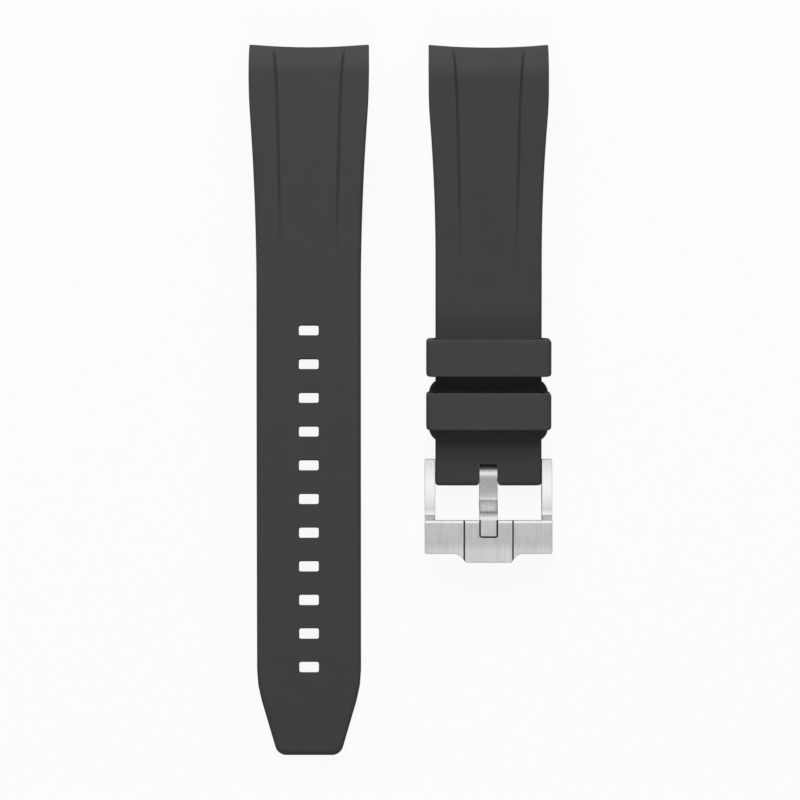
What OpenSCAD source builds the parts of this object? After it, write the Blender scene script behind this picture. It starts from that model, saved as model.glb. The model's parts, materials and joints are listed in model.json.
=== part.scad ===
// Two-piece rubber dive strap with a brushed steel thumb buckle, lying face up on a table.
// The long tail half is on the left and the short buckle half is on the right.
// X runs across the straps, Y along them with both lug ends at +Y, and Z up from the table.
// In a side outline the first number runs along Y and the second along Z.

/* [Lug ends] */
// Width of each strap where it fills the gap between the lugs
lug_w = 20; // [19:0.5:22]
// Radius of the watch case that the curved ends close up to
case_r = 20; // [18:0.5:24]
// Radius of the bend in the outer face
nose_r = 5.7; // [5.4:0.1:6.2]
// Degrees that the outer face has turned where it meets the case, at mid width
nose_turn = 64; // [60:1:66]
// Degrees between the strap's face and the dial's plane
case_tilt = 66; // [63:1:68]
// Height of the end face that meets the case
nose_h = 5.2; // [5:0.1:5.8]
// Radius blended into the inside of the bend
nose_fillet_r = 3; // [2:0.25:4]
// Radius of the hole for the watch's spring bar
lug_bore_r = 1; // [0.8:0.05:1.1]
// From the case to the spring bar's axis, along the dial's plane
lug_bore_setback = 2.4; // [2.2:0.1:2.8]
// From the outer rim down to the spring bar's axis
lug_bore_depth = 3.1; // [2.9:0.1:3.3]

/* [Face grooves] */
// Width of the two grooves that run down each face
groove_w = 0.5; // [0.3:0.05:0.8]
// Depth of those grooves
groove_depth = 0.3; // [0.15:0.05:0.5]
// Length of the grooves along the face, from the bend
groove_run = 31.5; // [20:0.5:40]
// How far the grooves reach past the start of the bend
groove_past_bend = 4.6; // [3:0.1:5]
// Distance between the grooves at their lower ends
groove_gap = 9.2; // [7:0.1:11]
// Distance between the grooves at the lug end
groove_lug_gap = 12.2; // [11:0.1:14]

/* [Tail half] */
// Length of the tail from the bend to the tip
tail_body = 113; // [95:0.1:125]
// How much narrower each side of the tail is than at the lugs
tail_taper = 1.35; // [1:0.05:2]
// Thickness of the tail
tail_t = 2.5; // [2:0.1:2.8]
// Radius of the gentle arch that the tail was moulded with
tail_arch_r = 600; // [450:10:1500]
// Length over which the tail widens towards the lugs
tail_flare = 33.6; // [25:0.1:40]
// Length of the tapered tip
tip_len = 11.7; // [9:0.1:14]
// Width of the tip's end
tip_w = 10.4; // [8:0.1:13]
// Rounding at the two corners of the tip's end
tip_corner_r = 1.4; // [0.5:0.1:2.5]
// Rounding where the taper starts
tip_shoulder_r = 18; // [6:1:30]

/* [Adjustment holes] */
// Number of adjustment holes
hole_count = 11; // [5:1:12]
// Distance from hole to hole
hole_pitch = 5.59; // [5:0.01:6]
// Size of a hole across the strap
hole_w = 3.3; // [2.5:0.1:4]
// Size of a hole along the strap
hole_l = 1.7; // [1.3:0.1:2.5]
// Rounding at the corners of a hole
hole_corner_r = 0.3; // [0.1:0.05:0.6]
// From the tip's end to the middle of the last hole
last_hole = 14.7; // [13:0.1:18]

/* [Buckle half] */
// From the bend to the buckle's hinge axis
buckle_body = 66.1; // [55:0.1:75]
// How much narrower each side of the buckle half is than at the lugs
buckle_taper = 1.2; // [1:0.05:2]
// Thickness of the buckle half
buckle_half_t = 2.8; // [2.5:0.1:3]
// From the bend to where the buckle half starts to narrow
buckle_flare_start = 1.7; // [0.5:0.1:4]
// Length over which the buckle half widens towards the lugs
buckle_flare = 27.2; // [20:0.1:30]
// Radius of the rounded end that holds the buckle's spring bar
strap_end_r = 1.8; // [1.7:0.05:2]
// Length over which that end thins down to the strap's thickness
strap_end_blend = 4.5; // [3:0.1:5.5]
// Rounding at the two corners of that end, seen from above
strap_end_corner_r = 0.45; // [0.2:0.05:0.8]
// Width of the notch for the tongue
notch_w = 3.2; // [3.1:0.1:3.8]
// Gap between the tongue's loop and the bottom of the notch
notch_gap = 0.25; // [0.15:0.05:0.5]

/* [Keepers] */
// Gap between a keeper and each edge of the strap
keeper_side_gap = 0.3; // [0.2:0.05:0.5]
// Length of each keeper along the strap
keeper_l = 6; // [5:0.1:7]
// Thickness of the keepers' rubber
keeper_wall = 1.3; // [1:0.05:1.3]
// Rounding of the keepers' outer edges
keeper_corner_r = 1.2; // [0.8:0.1:1.3]
// Height left in the keepers over both straps
keeper_room = 0.4; // [0.2:0.05:1]
// From the hinge axis to the middle of the fixed keeper
fixed_keeper_y = 10.9; // [10.5:0.1:13]
// From the hinge axis to the middle of the free keeper
free_keeper_y = 19.7; // [19.6:0.1:24]
// Gap between a keeper and the underside of the strap
keeper_gap = 0.1; // [0.05:0.05:0.2]
// How far the moulded ears that hold the fixed keeper stand out from each edge
ear_reach = 1.075; // [0.8:0.025:1.2]
// Length from the first pair of ears to the last
ear_span = 10.3; // [9:0.1:11]
// Rounding of the ears
ear_r = 1.7; // [1:0.1:1.8]
// Gap between the fixed keeper and the ears
ear_gap = 0.1; // [0.05:0.05:0.2]

/* [Buckle frame] */
// Gap between the strap's edge and each arm
arm_gap = 0.15; // [0.1:0.05:0.3]
// Thickness of each arm
arm_t = 1.7; // [1.5:0.05:1.75]
// Height of each arm
arm_h = 3.9; // [3.6:0.1:4.2]
// From the hinge axis to the free end of an arm
arm_end = 2.6; // [2.2:0.1:2.8]
// Rounding at the free end of an arm
arm_r = 1.3; // [0.8:0.1:1.6]
// From the hinge axis to the front edge of the bar
bar_y = 7.6; // [7.4:0.1:8.5]
// Depth of the bar's wings, seen from above
wing_l = 5.5; // [4.5:0.1:6.5]
// From the hinge axis up to the top of the bar
bar_top = 3.3; // [3.1:0.1:3.6]
// Thickness of the bar
bar_t = 2.6; // [2.2:0.1:2.8]
// Drop of the bar's face from its front edge to its back edge
bar_drop = 0.6; // [0.2:0.1:1]
// Chamfer along the bar's front edge
bar_chamfer = 0.35; // [0.15:0.05:0.5]
// Length of the steep step from the arms up to the bar
step_l = 1; // [0.6:0.1:1.5]
// Width of the raised block in the middle of the bar
block_w = 8.2; // [7:0.1:9.5]
// Depth of the block, seen from above
block_l = 7; // [6.5:0.1:8]
// How far the block stands above the wings
block_rise = 0.3; // [0.1:0.05:0.5]
// Chamfer at the block's two back corners
block_chamfer = 0.35; // [0.2:0.05:0.6]
// Width and depth of the fine grooves beside the block
block_groove = 0.3; // [0.2:0.05:0.4]
// Size of the sloping gussets behind the wings
gusset = 1.2; // [0.8:0.1:1.4]

/* [Tongue] */
// Width of the tongue
tongue_w = 2.9; // [2.4:0.1:3]
// Width of the tongue's tip
tip_tongue_w = 2.6; // [2.2:0.1:2.9]
// Thickness of the tongue
tongue_t = 1.1; // [0.9:0.05:1.2]
// Outer radius of the tongue's loop
loop_r = 1.7; // [1.55:0.05:1.75]
// From the hinge axis to the end of the tongue
tongue_l = 10.3; // [10:0.1:10.8]
// Degrees that the loop turns before the tongue slopes away from it
loop_turn = 34; // [20:1:40]
// From the hinge axis to where the tongue starts to rise
rise_from = 3.9; // [3.5:0.1:4.2]
// From the hinge axis to where the tongue has reached the bar's height
rise_to = 7.2; // [6.8:0.1:7.3]
// Depth of the tongue's lowest point below the hinge axis, on its middle line
tongue_low = 0.2; // [0:0.05:0.4]
// Side gap between the tongue's tip and its slot
slot_gap = 0.28; // [0.15:0.01:0.4]
// Gap under the tongue's tip
tip_gap = 0.08; // [0.05:0.01:0.15]

/* [Spring bar] */
// Radius of the spring bar's tube
tube_r = 0.9; // [0.85:0.01:0.95]
// From each end of the tube to the strap's edge
tube_end_gap = 0.6; // [0.4:0.05:1]
// Wall of the tube
tube_wall = 0.25; // [0.2:0.01:0.3]
// Radius of the plungers' heads, inside the tube
head_r = 0.6; // [0.55:0.01:0.62]
// Length of each head
head_l = 2.6; // [2:0.1:3.5]
// Radius of the plungers' tips
pin_r = 0.5; // [0.4:0.01:0.52]
// How far each tip reaches into the buckle's arm
pin_reach = 1.25; // [1:0.05:1.45]
// Width of the rolled-in lip at each end of the tube
lip_l = 0.4; // [0.3:0.05:0.6]
// Running clearance of everything that turns or slides on a round pin
run_gap = 0.05; // [0.04:0.005:0.06]
// Radius of the spring's wire
wire_r = 0.1; // [0.08:0.01:0.12]
// Number of turns of the spring
spring_turns = 18; // [10:1:20]

/* [Layout] */
// Distance between the middle lines of the two halves
strap_pitch = 29.95; // [25:0.05:40]

/* [Hidden] */

// Cuts run this far past the faces that they open
overrun = 1;
// Facets of the round pins and bores, and degrees between points on a rounded corner
round_fn = 64;
corner_step = 12;
// Points along the arch, the flare, and the tongue's slope and rise
arch_steps = 40;
flare_steps = 16;
rise_steps = 14;
// Rings in one turn of the spring, and sides of its wire
wire_rings = 8;
wire_sides = 6;
// Share of the flare that is hollow, counted from its narrow end
flare_join_share = 0.82;
// Along each groove from its lower end: share of its run, and share of its spread
groove_path_shares = [[0, 0], [0.22, 0.06], [0.5, 0.25], [0.76, 0.46], [0.9, 0.68], [1, 1]];
// Share of the full width that the groove has at each of those points
groove_width_shares = [0, 0.7, 1, 1, 0.9, 0];
rubber = [0.13, 0.13, 0.135];
steel = [0.78, 0.78, 0.79];

// Widths that follow the lug width
tail_w = lug_w - 2 * tail_taper;
buckle_half_w = lug_w - 2 * buckle_taper;
ear_w = buckle_half_w + 2 * ear_reach;
keeper_inner_w = buckle_half_w + 2 * keeper_side_gap;
keeper_w = keeper_inner_w + 2 * keeper_wall;
arm_in = buckle_half_w / 2 + arm_gap;
frame_w = 2 * (arm_in + arm_t);
tube_l = buckle_half_w - 2 * tube_end_gap;

// Directions in a side outline: along the dial's plane towards the case, and the dial's normal
dial_along = [cos(case_tilt), -sin(case_tilt)];
dial_up = [sin(case_tilt), cos(case_tilt)];
// Rim at mid width, from the start of the bend
rim = nose_r * [sin(nose_turn), cos(nose_turn) - 1];
// How far the case's curve is behind its foremost point at the strap's edge
case_sag = case_r - sqrt(case_r * case_r - lug_w * lug_w / 4);
// Lowest point of the curved end, at the strap's edge
horn = rim - nose_h * dial_up + case_sag * dial_along;
lug_bore = rim - lug_bore_setback * dial_along - lug_bore_depth * dial_up;

// The tail lies on its two horns and the underside of its tip
tail_tip_low = arch(tail_body, tail_t);
tail_rest = tail_tip_low - horn;
tail_lean = -atan(tail_rest.y / tail_rest.x);
// The buckle half lies on its two horns and the ends of the buckle's arms
hinge_z = arm_h / 2;
horn_from_hinge = horn + [buckle_body, strap_end_r];
buckle_lean = asin(-hinge_z / norm(horn_from_hinge)) - atan2(horn_from_hinge.y, horn_from_hinge.x);

// Places of both halves, so that the whole is centred over the origin
tail_front = turned([0, -nose_r], tail_lean).x + nose_r;
tail_back = turned(tail_tip_low, tail_lean).x;
tail_bend_y = -(tail_front + tail_back) / 2;
tail_bend_z = -turned(horn, tail_lean).y;
hinge_y = tail_bend_y + tail_front - nose_r
          - turned([buckle_body, strap_end_r - nose_r], buckle_lean).x;
tail_x = (lug_w / 2 - frame_w / 2 - strap_pitch) / 2;
buckle_x = tail_x + strap_pitch;

keeper_inner_h = buckle_half_t + tail_t + keeper_room;
keeper_low = strap_end_r - buckle_half_t - keeper_gap - keeper_wall;
keeper_h = keeper_inner_h + 2 * keeper_wall;
block_top = bar_top + block_rise;
tongue_high = block_top - block_rise / 2 - tongue_t / 2;
slot_floor = tongue_high - tongue_t / 2 - tip_gap;
slot_w = tip_tongue_w + 2 * slot_gap;
slot_end = tongue_l + slot_gap / 2;
tube_bore_r = tube_r - tube_wall;
pin_end = arm_in + pin_reach;
head_out = tube_l / 2 - lip_l;
spring_end = head_out - head_l;
coil_r = head_r - 2 * wire_r;

function unit(v) = v / norm(v);
function turned(v, angle) = [v.x * cos(angle) - v.y * sin(angle), v.x * sin(angle) + v.y * cos(angle)];
// Points of the arc that rounds the corner q, between its neighbours p and s
function corner_arc(p, q, s, r) =
    r <= 0 ? [q] :
    let (a = unit(p - q), b = unit(s - q), half = acos(a * b) / 2,
         centre = q + unit(a + b) * r / sin(half),
         start = q + a * r / tan(half) - centre,
         from = atan2(start.y, start.x),
         sweep = (cross(a, b) > 0 ? -1 : 1) * (180 - 2 * half),
         steps = ceil(abs(sweep) / corner_step))
    [for (i = [0:steps]) let (angle = from + sweep * i / steps) centre + r * [cos(angle), sin(angle)]];
// A closed outline from corners given as [first, second, rounding]
function outline(corners) =
    let (n = len(corners), flat = [for (c = corners) [c.x, c.y]])
    [for (i = [0:n - 1])
        each corner_arc(flat[(i + n - 1) % n], flat[i], flat[(i + 1) % n], corners[i].z)];
function box_corners(w, h, r) =
    [[-w / 2, -h / 2, r], [w / 2, -h / 2, r], [w / 2, h / 2, r], [-w / 2, h / 2, r]];
// A right-hand edge followed by its mirror image, back to the start
function mirrored(side) =
    concat(side, [for (i = [len(side) - 1:-1:0]) [-side[i].x, side[i].y, side[i].z]]);

// The outer face at a depth below it, from the bend's start to past the horns
function nose_face(depth) =
    let (last = 90 + corner_step / 2, steps = ceil(last / corner_step) * 2)
    [for (i = [0:steps]) [(nose_r - depth) * sin(last * i / steps),
                          (nose_r - depth) * cos(last * i / steps) - nose_r]];
// The curved end in side view, from the top of the bend round to the strap's underside
function nose_side(t) =
    let (foot = horn + overrun / 2 * dial_along,
         inner = rim - nose_h * dial_up,
         knee = inner - dial_along * (t + inner.y) / dial_along.y,
         back = [knee.x - 2 * nose_fillet_r, -t])
    concat(nose_face(0), [foot], corner_arc(foot, knee, back, nose_fillet_r));
// One point of the tail's arch, at a distance back from the bend and a depth below the face
function arch(along, depth) =
    [-along, sqrt(pow(tail_arch_r - depth, 2) - along * along) - tail_arch_r];
function arch_line(depth, from, to) =
    [for (i = [0:arch_steps]) arch(from + (to - from) * i / arch_steps, depth)];
// Widening towards the lugs: hollow at first, then rounded over, as a share of the whole flare
function flare(share) =
    share < flare_join_share ? share * share / flare_join_share
                             : 1 - pow(1 - share, 2) / (1 - flare_join_share);
// Right edge of a strap seen from above, from the lug end to the narrow end of the flare
function flared_edge(w, start, length) =
    concat([[lug_w / 2, nose_r + overrun, 0]],
           [for (i = [0:flare_steps]) let (share = 1 - i / flare_steps)
               [w / 2 + (lug_w - w) / 2 * flare(share), -start - length * (1 - share), 0]]);

// Extrudes a side outline across the strap
module across(w) rotate([90, 0, 90]) linear_extrude(height = w, center = true) children();
module round_bar(r, length) rotate([0, 90, 0]) cylinder(r = r, h = length, center = true, $fn = round_fn);
// Extrudes a plan outline far past both faces of a strap
module plan(low, high) translate([0, 0, low]) linear_extrude(height = high - low) children();
module at_tail() translate([tail_x, tail_bend_y, tail_bend_z]) rotate([tail_lean, 0, 0]) children();
module at_hinge() translate([buckle_x, hinge_y, hinge_z]) children();
module at_buckle_half() at_hinge() rotate([buckle_lean, 0, 0]) children();

// The round watch case and the spring bar's hole, cut from a strap whose bend starts at the origin
module lug_cuts() {
    translate([0, rim.x + case_r * dial_along.x, rim.y + case_r * dial_along.y])
        rotate([-case_tilt, 0, 0])
            cylinder(r = case_r, h = 4 * nose_h, center = true, $fn = 4 * round_fn);
    translate([0, lug_bore.x, lug_bore.y]) round_bar(lug_bore_r, lug_w + 2 * overrun);
}
// A pair of shallow grooves, given the outline of everything above their floor
module grooves() {
    spread = (groove_lug_gap - groove_gap) / 2;
    length = groove_run + groove_past_bend;
    points = [for (i = [0:len(groove_path_shares) - 1])
        [groove_gap / 2 + spread * groove_path_shares[i].y,
         groove_past_bend - length * (1 - groove_path_shares[i].x),
         groove_w / 2 * groove_width_shares[i]]];
    strip = concat([for (p = points) [p.x + p.z, p.y]],
                   [for (i = [len(points) - 2:-1:1]) [points[i].x - points[i].z, points[i].y]]);
    intersection() {
        union() for (side = [0, 1]) mirror([side, 0, 0]) plan(-2 * nose_r, nose_r) polygon(strip);
        across(lug_w) children();
    }
}

module tail_side() polygon(concat(nose_side(tail_t),
    arch_line(tail_t, nose_r + nose_fillet_r, tail_body + overrun),
    arch_line(0, tail_body + overrun, overrun)));
module tail_plan() polygon(outline(mirrored(concat(flared_edge(tail_w, 0, tail_flare),
    [[tail_w / 2, tip_len - tail_body, tip_shoulder_r], [tip_w / 2, -tail_body, tip_corner_r]]))));
module tail_groove_side() polygon(concat(nose_face(groove_depth), [[nose_r, nose_r]],
    [[-tail_flare - overrun, nose_r]], [arch(tail_flare + overrun, groove_depth)],
    arch_line(groove_depth, tail_flare, overrun)));
module tail_strap() color(rubber) at_tail() difference() {
    intersection() {
        across(lug_w + overrun) tail_side();
        plan(-tail_body, nose_r) tail_plan();
    }
    lug_cuts();
    grooves() tail_groove_side();
    for (i = [0:hole_count - 1])
        translate([0, last_hole - tail_body + hole_pitch * i, 0])
            plan(-tail_body, nose_r) polygon(outline(box_corners(hole_w, hole_l, hole_corner_r)));
}

// The buckle half is drawn from its bend too, so the hinge axis is at -buckle_body
module buckle_side() polygon(concat(nose_side(buckle_half_t),
    [[strap_end_blend - buckle_body, -buckle_half_t]],
    [for (turn = [0:corner_step:180])
        [-buckle_body - strap_end_r * sin(turn), -strap_end_r * (1 + cos(turn))]]));
module buckle_plan() polygon(outline(mirrored(concat(
    flared_edge(buckle_half_w, buckle_flare_start, buckle_flare),
    [[buckle_half_w / 2, -buckle_body - strap_end_r, strap_end_corner_r]]))));
// The ears on both edges, with the seat for the fixed keeper between them
module ears() translate([0, fixed_keeper_y - buckle_body, 0]) difference() {
    plan(-nose_r, nose_r) polygon(outline(box_corners(ear_w, ear_span, ear_r)));
    plan(-2 * nose_r, 2 * nose_r) square([lug_w, keeper_l + 2 * ear_gap], center = true);
}
module buckle_groove_side() polygon(concat(nose_face(groove_depth),
    [[nose_r, nose_r], [-groove_run - overrun, nose_r], [-groove_run - overrun, -groove_depth]]));
module buckle_strap() color(rubber) at_buckle_half() difference() {
    translate([0, buckle_body, strap_end_r]) difference() {
        intersection() {
            across(lug_w + overrun) buckle_side();
            union() {
                plan(-2 * nose_r, 2 * nose_r) buckle_plan();
                ears();
            }
        }
        lug_cuts();
        grooves() buckle_groove_side();
        translate([-notch_w / 2, -buckle_body - strap_end_r - overrun, -nose_r])
            cube([notch_w, strap_end_r + overrun + loop_r + notch_gap, 2 * nose_r]);
    }
    round_bar(tube_r, lug_w);
}

module keeper(place) at_buckle_half() translate([0, place, keeper_low + keeper_h / 2])
    rotate([90, 0, 0]) linear_extrude(height = keeper_l, center = true) difference() {
        polygon(outline(box_corners(keeper_w, keeper_h, keeper_corner_r)));
        polygon(outline(box_corners(keeper_inner_w, keeper_inner_h, keeper_corner_r / 3)));
    }
module free_keeper() color(rubber) keeper(free_keeper_y);
module fixed_keeper() color(rubber) keeper(fixed_keeper_y);

// Side view of an arm, which steps up into the end of the bar
module arm_side() polygon(outline([
    [arm_end, -arm_h / 2, arm_r], [arm_end, arm_h / 2, arm_r],
    [step_l - bar_y, arm_h / 2, 0], [-bar_y, bar_top - bar_chamfer, 0],
    [-bar_y - wing_l / 2, bar_top - bar_t, 0], [-bar_y - wing_l / 2, 0, arm_r],
    [-bar_y, -arm_h / 2, arm_r]]));
// Side view of the bar or its block, with a chamfered front edge and a falling face
module bar_side(length, top, bottom) polygon([
    [-bar_y, bottom], [-bar_y, top - bar_chamfer], [-bar_y - bar_chamfer, top],
    [-bar_y - length, top - bar_drop], [-bar_y - length, bottom]]);
module wing_plan() polygon(outline(mirrored([
    [frame_w / 2, -bar_y + overrun, 0], [frame_w / 2, -bar_y - wing_l, block_chamfer],
    [block_w / 2 + gusset, -bar_y - wing_l, 0], [block_w / 2, -bar_y - wing_l - gusset * 3 / 4, 0]])));
module block_plan() polygon([
    [-block_w / 2, overrun - bar_y], [block_w / 2, overrun - bar_y],
    [block_w / 2, block_chamfer - bar_y - block_l], [block_w / 2 - block_chamfer, -bar_y - block_l],
    [block_chamfer - block_w / 2, -bar_y - block_l], [-block_w / 2, block_chamfer - bar_y - block_l]]);
module slot_plan() polygon(outline([
    [-slot_w / 2, overrun - bar_y, 0], [-slot_w / 2, -slot_end, slot_gap],
    [slot_w / 2, -slot_end, slot_gap], [slot_w / 2, overrun - bar_y, 0]]));
module buckle_frame() color(steel) at_hinge() difference() {
    union() {
        for (side = [-1, 1]) translate([side * (frame_w - arm_t) / 2, 0, 0]) across(arm_t) arm_side();
        intersection() {
            across(frame_w) bar_side(block_l, bar_top, bar_top - bar_t);
            plan(-arm_h, 2 * arm_h) wing_plan();
        }
        intersection() {
            across(block_w) bar_side(block_l, block_top, bar_top - bar_t);
            plan(-arm_h, 2 * arm_h) block_plan();
        }
    }
    round_bar(pin_r + run_gap, frame_w + 2 * overrun);
    plan(slot_floor, 2 * arm_h) slot_plan();
    for (side = [-1, 1])
        translate([side * (block_w + block_groove) / 2 - block_groove / 2,
                   -bar_y - block_l - overrun, bar_top - bar_drop - block_groove])
            cube([block_groove, block_l + 2 * overrun, arm_h]);
}

// Middle line of the tongue: round the loop, down a slope, a smooth rise, then flat to the end
function tongue_line() =
    let (loop = loop_r - tongue_t / 2, leave = loop * [-sin(loop_turn), cos(loop_turn)])
    concat([for (i = [0:2]) loop * [-sin(loop_turn * i / 3), cos(loop_turn * i / 3)]],
    [for (i = [0:rise_steps - 1]) let (share = i / rise_steps)
        [leave.x - (rise_from + leave.x) * share,
         -tongue_low + (leave.y + tongue_low) * (1 - share) * (1 - share)]],
    [for (i = [0:rise_steps]) let (share = i / rise_steps)
        [-rise_from - (rise_to - rise_from) * share,
         -tongue_low + (tongue_high + tongue_low) * share * share * (3 - 2 * share)]],
    [[-tongue_l, tongue_high]]);
// A strip of constant thickness along a line
function strip(line, t) =
    let (n = len(line), side = [for (i = [0:n - 1])
        let (d = unit(line[min(i + 1, n - 1)] - line[max(i - 1, 0)])) [-d.y, d.x] * t / 2])
    concat([for (i = [0:n - 1]) line[i] + side[i]], [for (i = [n - 1:-1:0]) line[i] - side[i]]);
module tongue_plan() polygon([
    [-tongue_w / 2, loop_r], [-tongue_w / 2, -rise_to], [-tip_tongue_w / 2, -bar_y],
    [-tip_tongue_w / 2, -tongue_l], [tip_tongue_w / 2, -tongue_l], [tip_tongue_w / 2, -bar_y],
    [tongue_w / 2, -rise_to], [tongue_w / 2, loop_r]]);
module buckle_tongue() color(steel) at_hinge() difference() {
    union() {
        intersection() {
            across(tongue_w) polygon(strip(tongue_line(), tongue_t));
            plan(-arm_h, 2 * arm_h) tongue_plan();
        }
        round_bar(loop_r, tongue_w);
    }
    round_bar(tube_r + run_gap, tongue_w + 2 * overrun);
}

module spring_bar_tube() color(steel) at_buckle_half() difference() {
    round_bar(tube_r, tube_l);
    round_bar(tube_bore_r, tube_l - 2 * lip_l);
    round_bar(pin_r + run_gap, tube_l + 2 * overrun);
}
module plunger(side) at_buckle_half() {
    translate([side * (head_out - head_l / 2), 0, 0]) round_bar(head_r, head_l);
    translate([side * (spring_end + pin_end) / 2, 0, 0]) round_bar(pin_r, pin_end - spring_end);
}
module spring_bar_plunger_left() color(steel) plunger(-1);
module spring_bar_plunger_right() color(steel) plunger(1);

// The spring is one open helix between the plungers' heads
module spring_bar_spring() color(steel) at_buckle_half() {
    rings = wire_rings * spring_turns;
    reach = spring_end - 2 * wire_r;
    points = [for (i = [0:rings], k = [0:wire_sides - 1])
        let (turn = 360 * i / wire_rings, round = 360 * k / wire_sides, r = coil_r + wire_r * cos(round))
        [-reach + 2 * reach * i / rings + wire_r * sin(round), r * cos(turn), r * sin(turn)]];
    first = [for (k = [0:wire_sides - 1]) k];
    last = [for (k = [wire_sides - 1:-1:0]) rings * wire_sides + k];
    sides = [for (i = [0:rings - 1], k = [0:wire_sides - 1])
        let (a = i * wire_sides + k, b = i * wire_sides + (k + 1) % wire_sides)
        each [[a, a + wire_sides, b], [b, a + wire_sides, b + wire_sides]]];
    polyhedron(points, concat([first], [last], sides));
}

tail_strap();
buckle_strap();
free_keeper();
fixed_keeper();
buckle_frame();
buckle_tongue();
spring_bar_tube();
spring_bar_spring();
spring_bar_plunger_left();
spring_bar_plunger_right();
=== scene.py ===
"""A two-piece rubber dive strap with a steel thumb buckle, dressed for a studio picture.

The packed model is the fixed frame. Each rubber piece is drawn as a flat mesh in strap
coordinates, across and along, and is then lifted to its two faces, so that holes, grooves,
ears and rounded edges share one clean skin. The steel pieces are cut from bars and bevelled.
All sizes are in metres, in the frame's own place.
"""

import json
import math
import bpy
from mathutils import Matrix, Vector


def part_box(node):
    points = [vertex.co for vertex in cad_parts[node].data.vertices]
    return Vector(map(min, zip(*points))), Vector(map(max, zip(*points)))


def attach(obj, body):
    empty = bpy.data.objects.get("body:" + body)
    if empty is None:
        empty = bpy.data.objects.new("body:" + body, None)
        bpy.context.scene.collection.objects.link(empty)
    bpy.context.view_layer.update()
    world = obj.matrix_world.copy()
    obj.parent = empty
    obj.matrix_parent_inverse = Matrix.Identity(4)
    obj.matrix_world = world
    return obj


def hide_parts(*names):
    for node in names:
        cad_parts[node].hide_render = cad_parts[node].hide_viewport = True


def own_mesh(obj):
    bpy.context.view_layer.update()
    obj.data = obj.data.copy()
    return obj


bl_info = {
    "name": "Rubber Dive Strap",
    "version": (1, 0, 0),
    "blender": (4, 5, 0),
    "location": "3D View > Sidebar > Dive Strap",
    "description": "Builds a curved-end rubber dive strap with keepers and a brushed steel buckle",
    "category": "Add Mesh",
}

import bmesh
import bpy
import numpy as np
from bpy.props import FloatProperty, FloatVectorProperty, IntProperty, PointerProperty
from bpy.types import Operator, Panel, PropertyGroup
from mathutils import Matrix, Vector

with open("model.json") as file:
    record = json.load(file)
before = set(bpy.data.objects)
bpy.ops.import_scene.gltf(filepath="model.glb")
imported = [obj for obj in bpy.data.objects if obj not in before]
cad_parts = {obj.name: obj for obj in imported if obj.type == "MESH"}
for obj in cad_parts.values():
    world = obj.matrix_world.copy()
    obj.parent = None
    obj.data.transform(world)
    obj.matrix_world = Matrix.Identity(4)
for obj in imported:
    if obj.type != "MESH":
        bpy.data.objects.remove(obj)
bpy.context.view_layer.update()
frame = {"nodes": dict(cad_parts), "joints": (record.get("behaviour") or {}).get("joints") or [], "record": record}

MM = 0.001
# Points of a plan closer than this are one point
WELD = 0.2e-6
# Gap of a point that is far from every hole
FAR = 1.0
# Degrees between points on a rounded corner
CORNER_STEP = 10
# Edges that turn more than this stay sharp when shaded, and the buckle's get a bevel
SHARP_ANGLE = math.radians(38)
BEVEL_ANGLE = math.radians(24)
# Steel loses edges shorter than this and creases flatter than this before it is bevelled
SLIVER = 0.02 * MM
FLAT_ANGLE = math.radians(0.5)
# Segments of the patch round a hole, across and along
HOLE_COLUMNS = 12
HOLE_ROWS = 10
# Steps between rows: plain rubber, the keeper's seat, near holes and ears, lug end, notch
PLAIN_STEP = 1.1 * MM
SEAT_STEP = 0.8 * MM
NEAR_STEP = 0.6 * MM
LUG_STEP = 0.5 * MM
NOTCH_STEP = 0.4 * MM
# Segments of each turn of the spring and of its wire
COIL_RINGS = 16
WIRE_SIDES = 8

JOINTS = {joint["name"]: joint for joint in frame["joints"]}
HINGE = Vector(JOINTS["frame_swing"]["pos_m"])
SLIDE_AXIS = JOINTS["keeper_slide"]["axis"]
BUCKLE_LEAN = math.atan2(SLIDE_AXIS[2], SLIDE_AXIS[1])
MOUNTS = {mount["name"]: mount for mount in frame["record"]["mounts"]}
TAIL_BORE = Vector(MOUNTS["lug_bore_tail"]["pos_m"])
BORE_RADIUS = MOUNTS["lug_bore_tail"]["dims"]["r_mm"] * MM


def node_size(node):
    """Size of a packed node's box."""
    low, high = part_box(node)
    return high - low


def length(name, description, default):
    """A size in metres."""
    return FloatProperty(name=name, description=description, default=default, min=0,
                         unit="LENGTH", precision=5)


def angle(name, description, degrees):
    """An angle, written in degrees."""
    return FloatProperty(name=name, description=description, default=math.radians(degrees),
                         subtype="ANGLE")


def amount(name, description, default, high=1.0):
    """A plain number from nothing to a limit."""
    return FloatProperty(name=name, description=description, default=default, min=0, max=high)


def colour(name, description, default):
    """A colour, in linear light."""
    return FloatVectorProperty(name=name, description=description, default=default,
                               subtype="COLOR", min=0, max=1)


class LugEndSizes(PropertyGroup):
    """Sizes of the curved ends that meet the watch case"""
    width: length("Width", "Width between the lugs", node_size("tail_strap").x)
    case_radius: length("Case radius", "Radius of the watch case", 20 * MM)
    bend_radius: length("Bend size", "Size of the whole bend in the outer face", 5.7 * MM)
    first_bend: length("First bend", "Radius at the start of the bend", 3.5 * MM)
    first_start: length("First flat", "Flat length before the bend", 0.3 * MM)
    first_turn: angle("First turn", "Turn at the start of the bend", 38)
    bend_turn: angle("Bend turn", "Turn of the face where it meets the case", 64)
    case_tilt: angle("Case tilt", "Angle between the strap and the dial", 66)
    height: length("Height", "Height of the end face", 5.2 * MM)
    fillet: length("Inner fillet", "Radius on the inside of the bend", 3 * MM)
    edge: length("Edge rounding", "Rounding of the edges at the lug end", 0.22 * MM)
    corner: length("Corner rounding", "Rounding of the corners at the lug end", 0.24 * MM)


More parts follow.
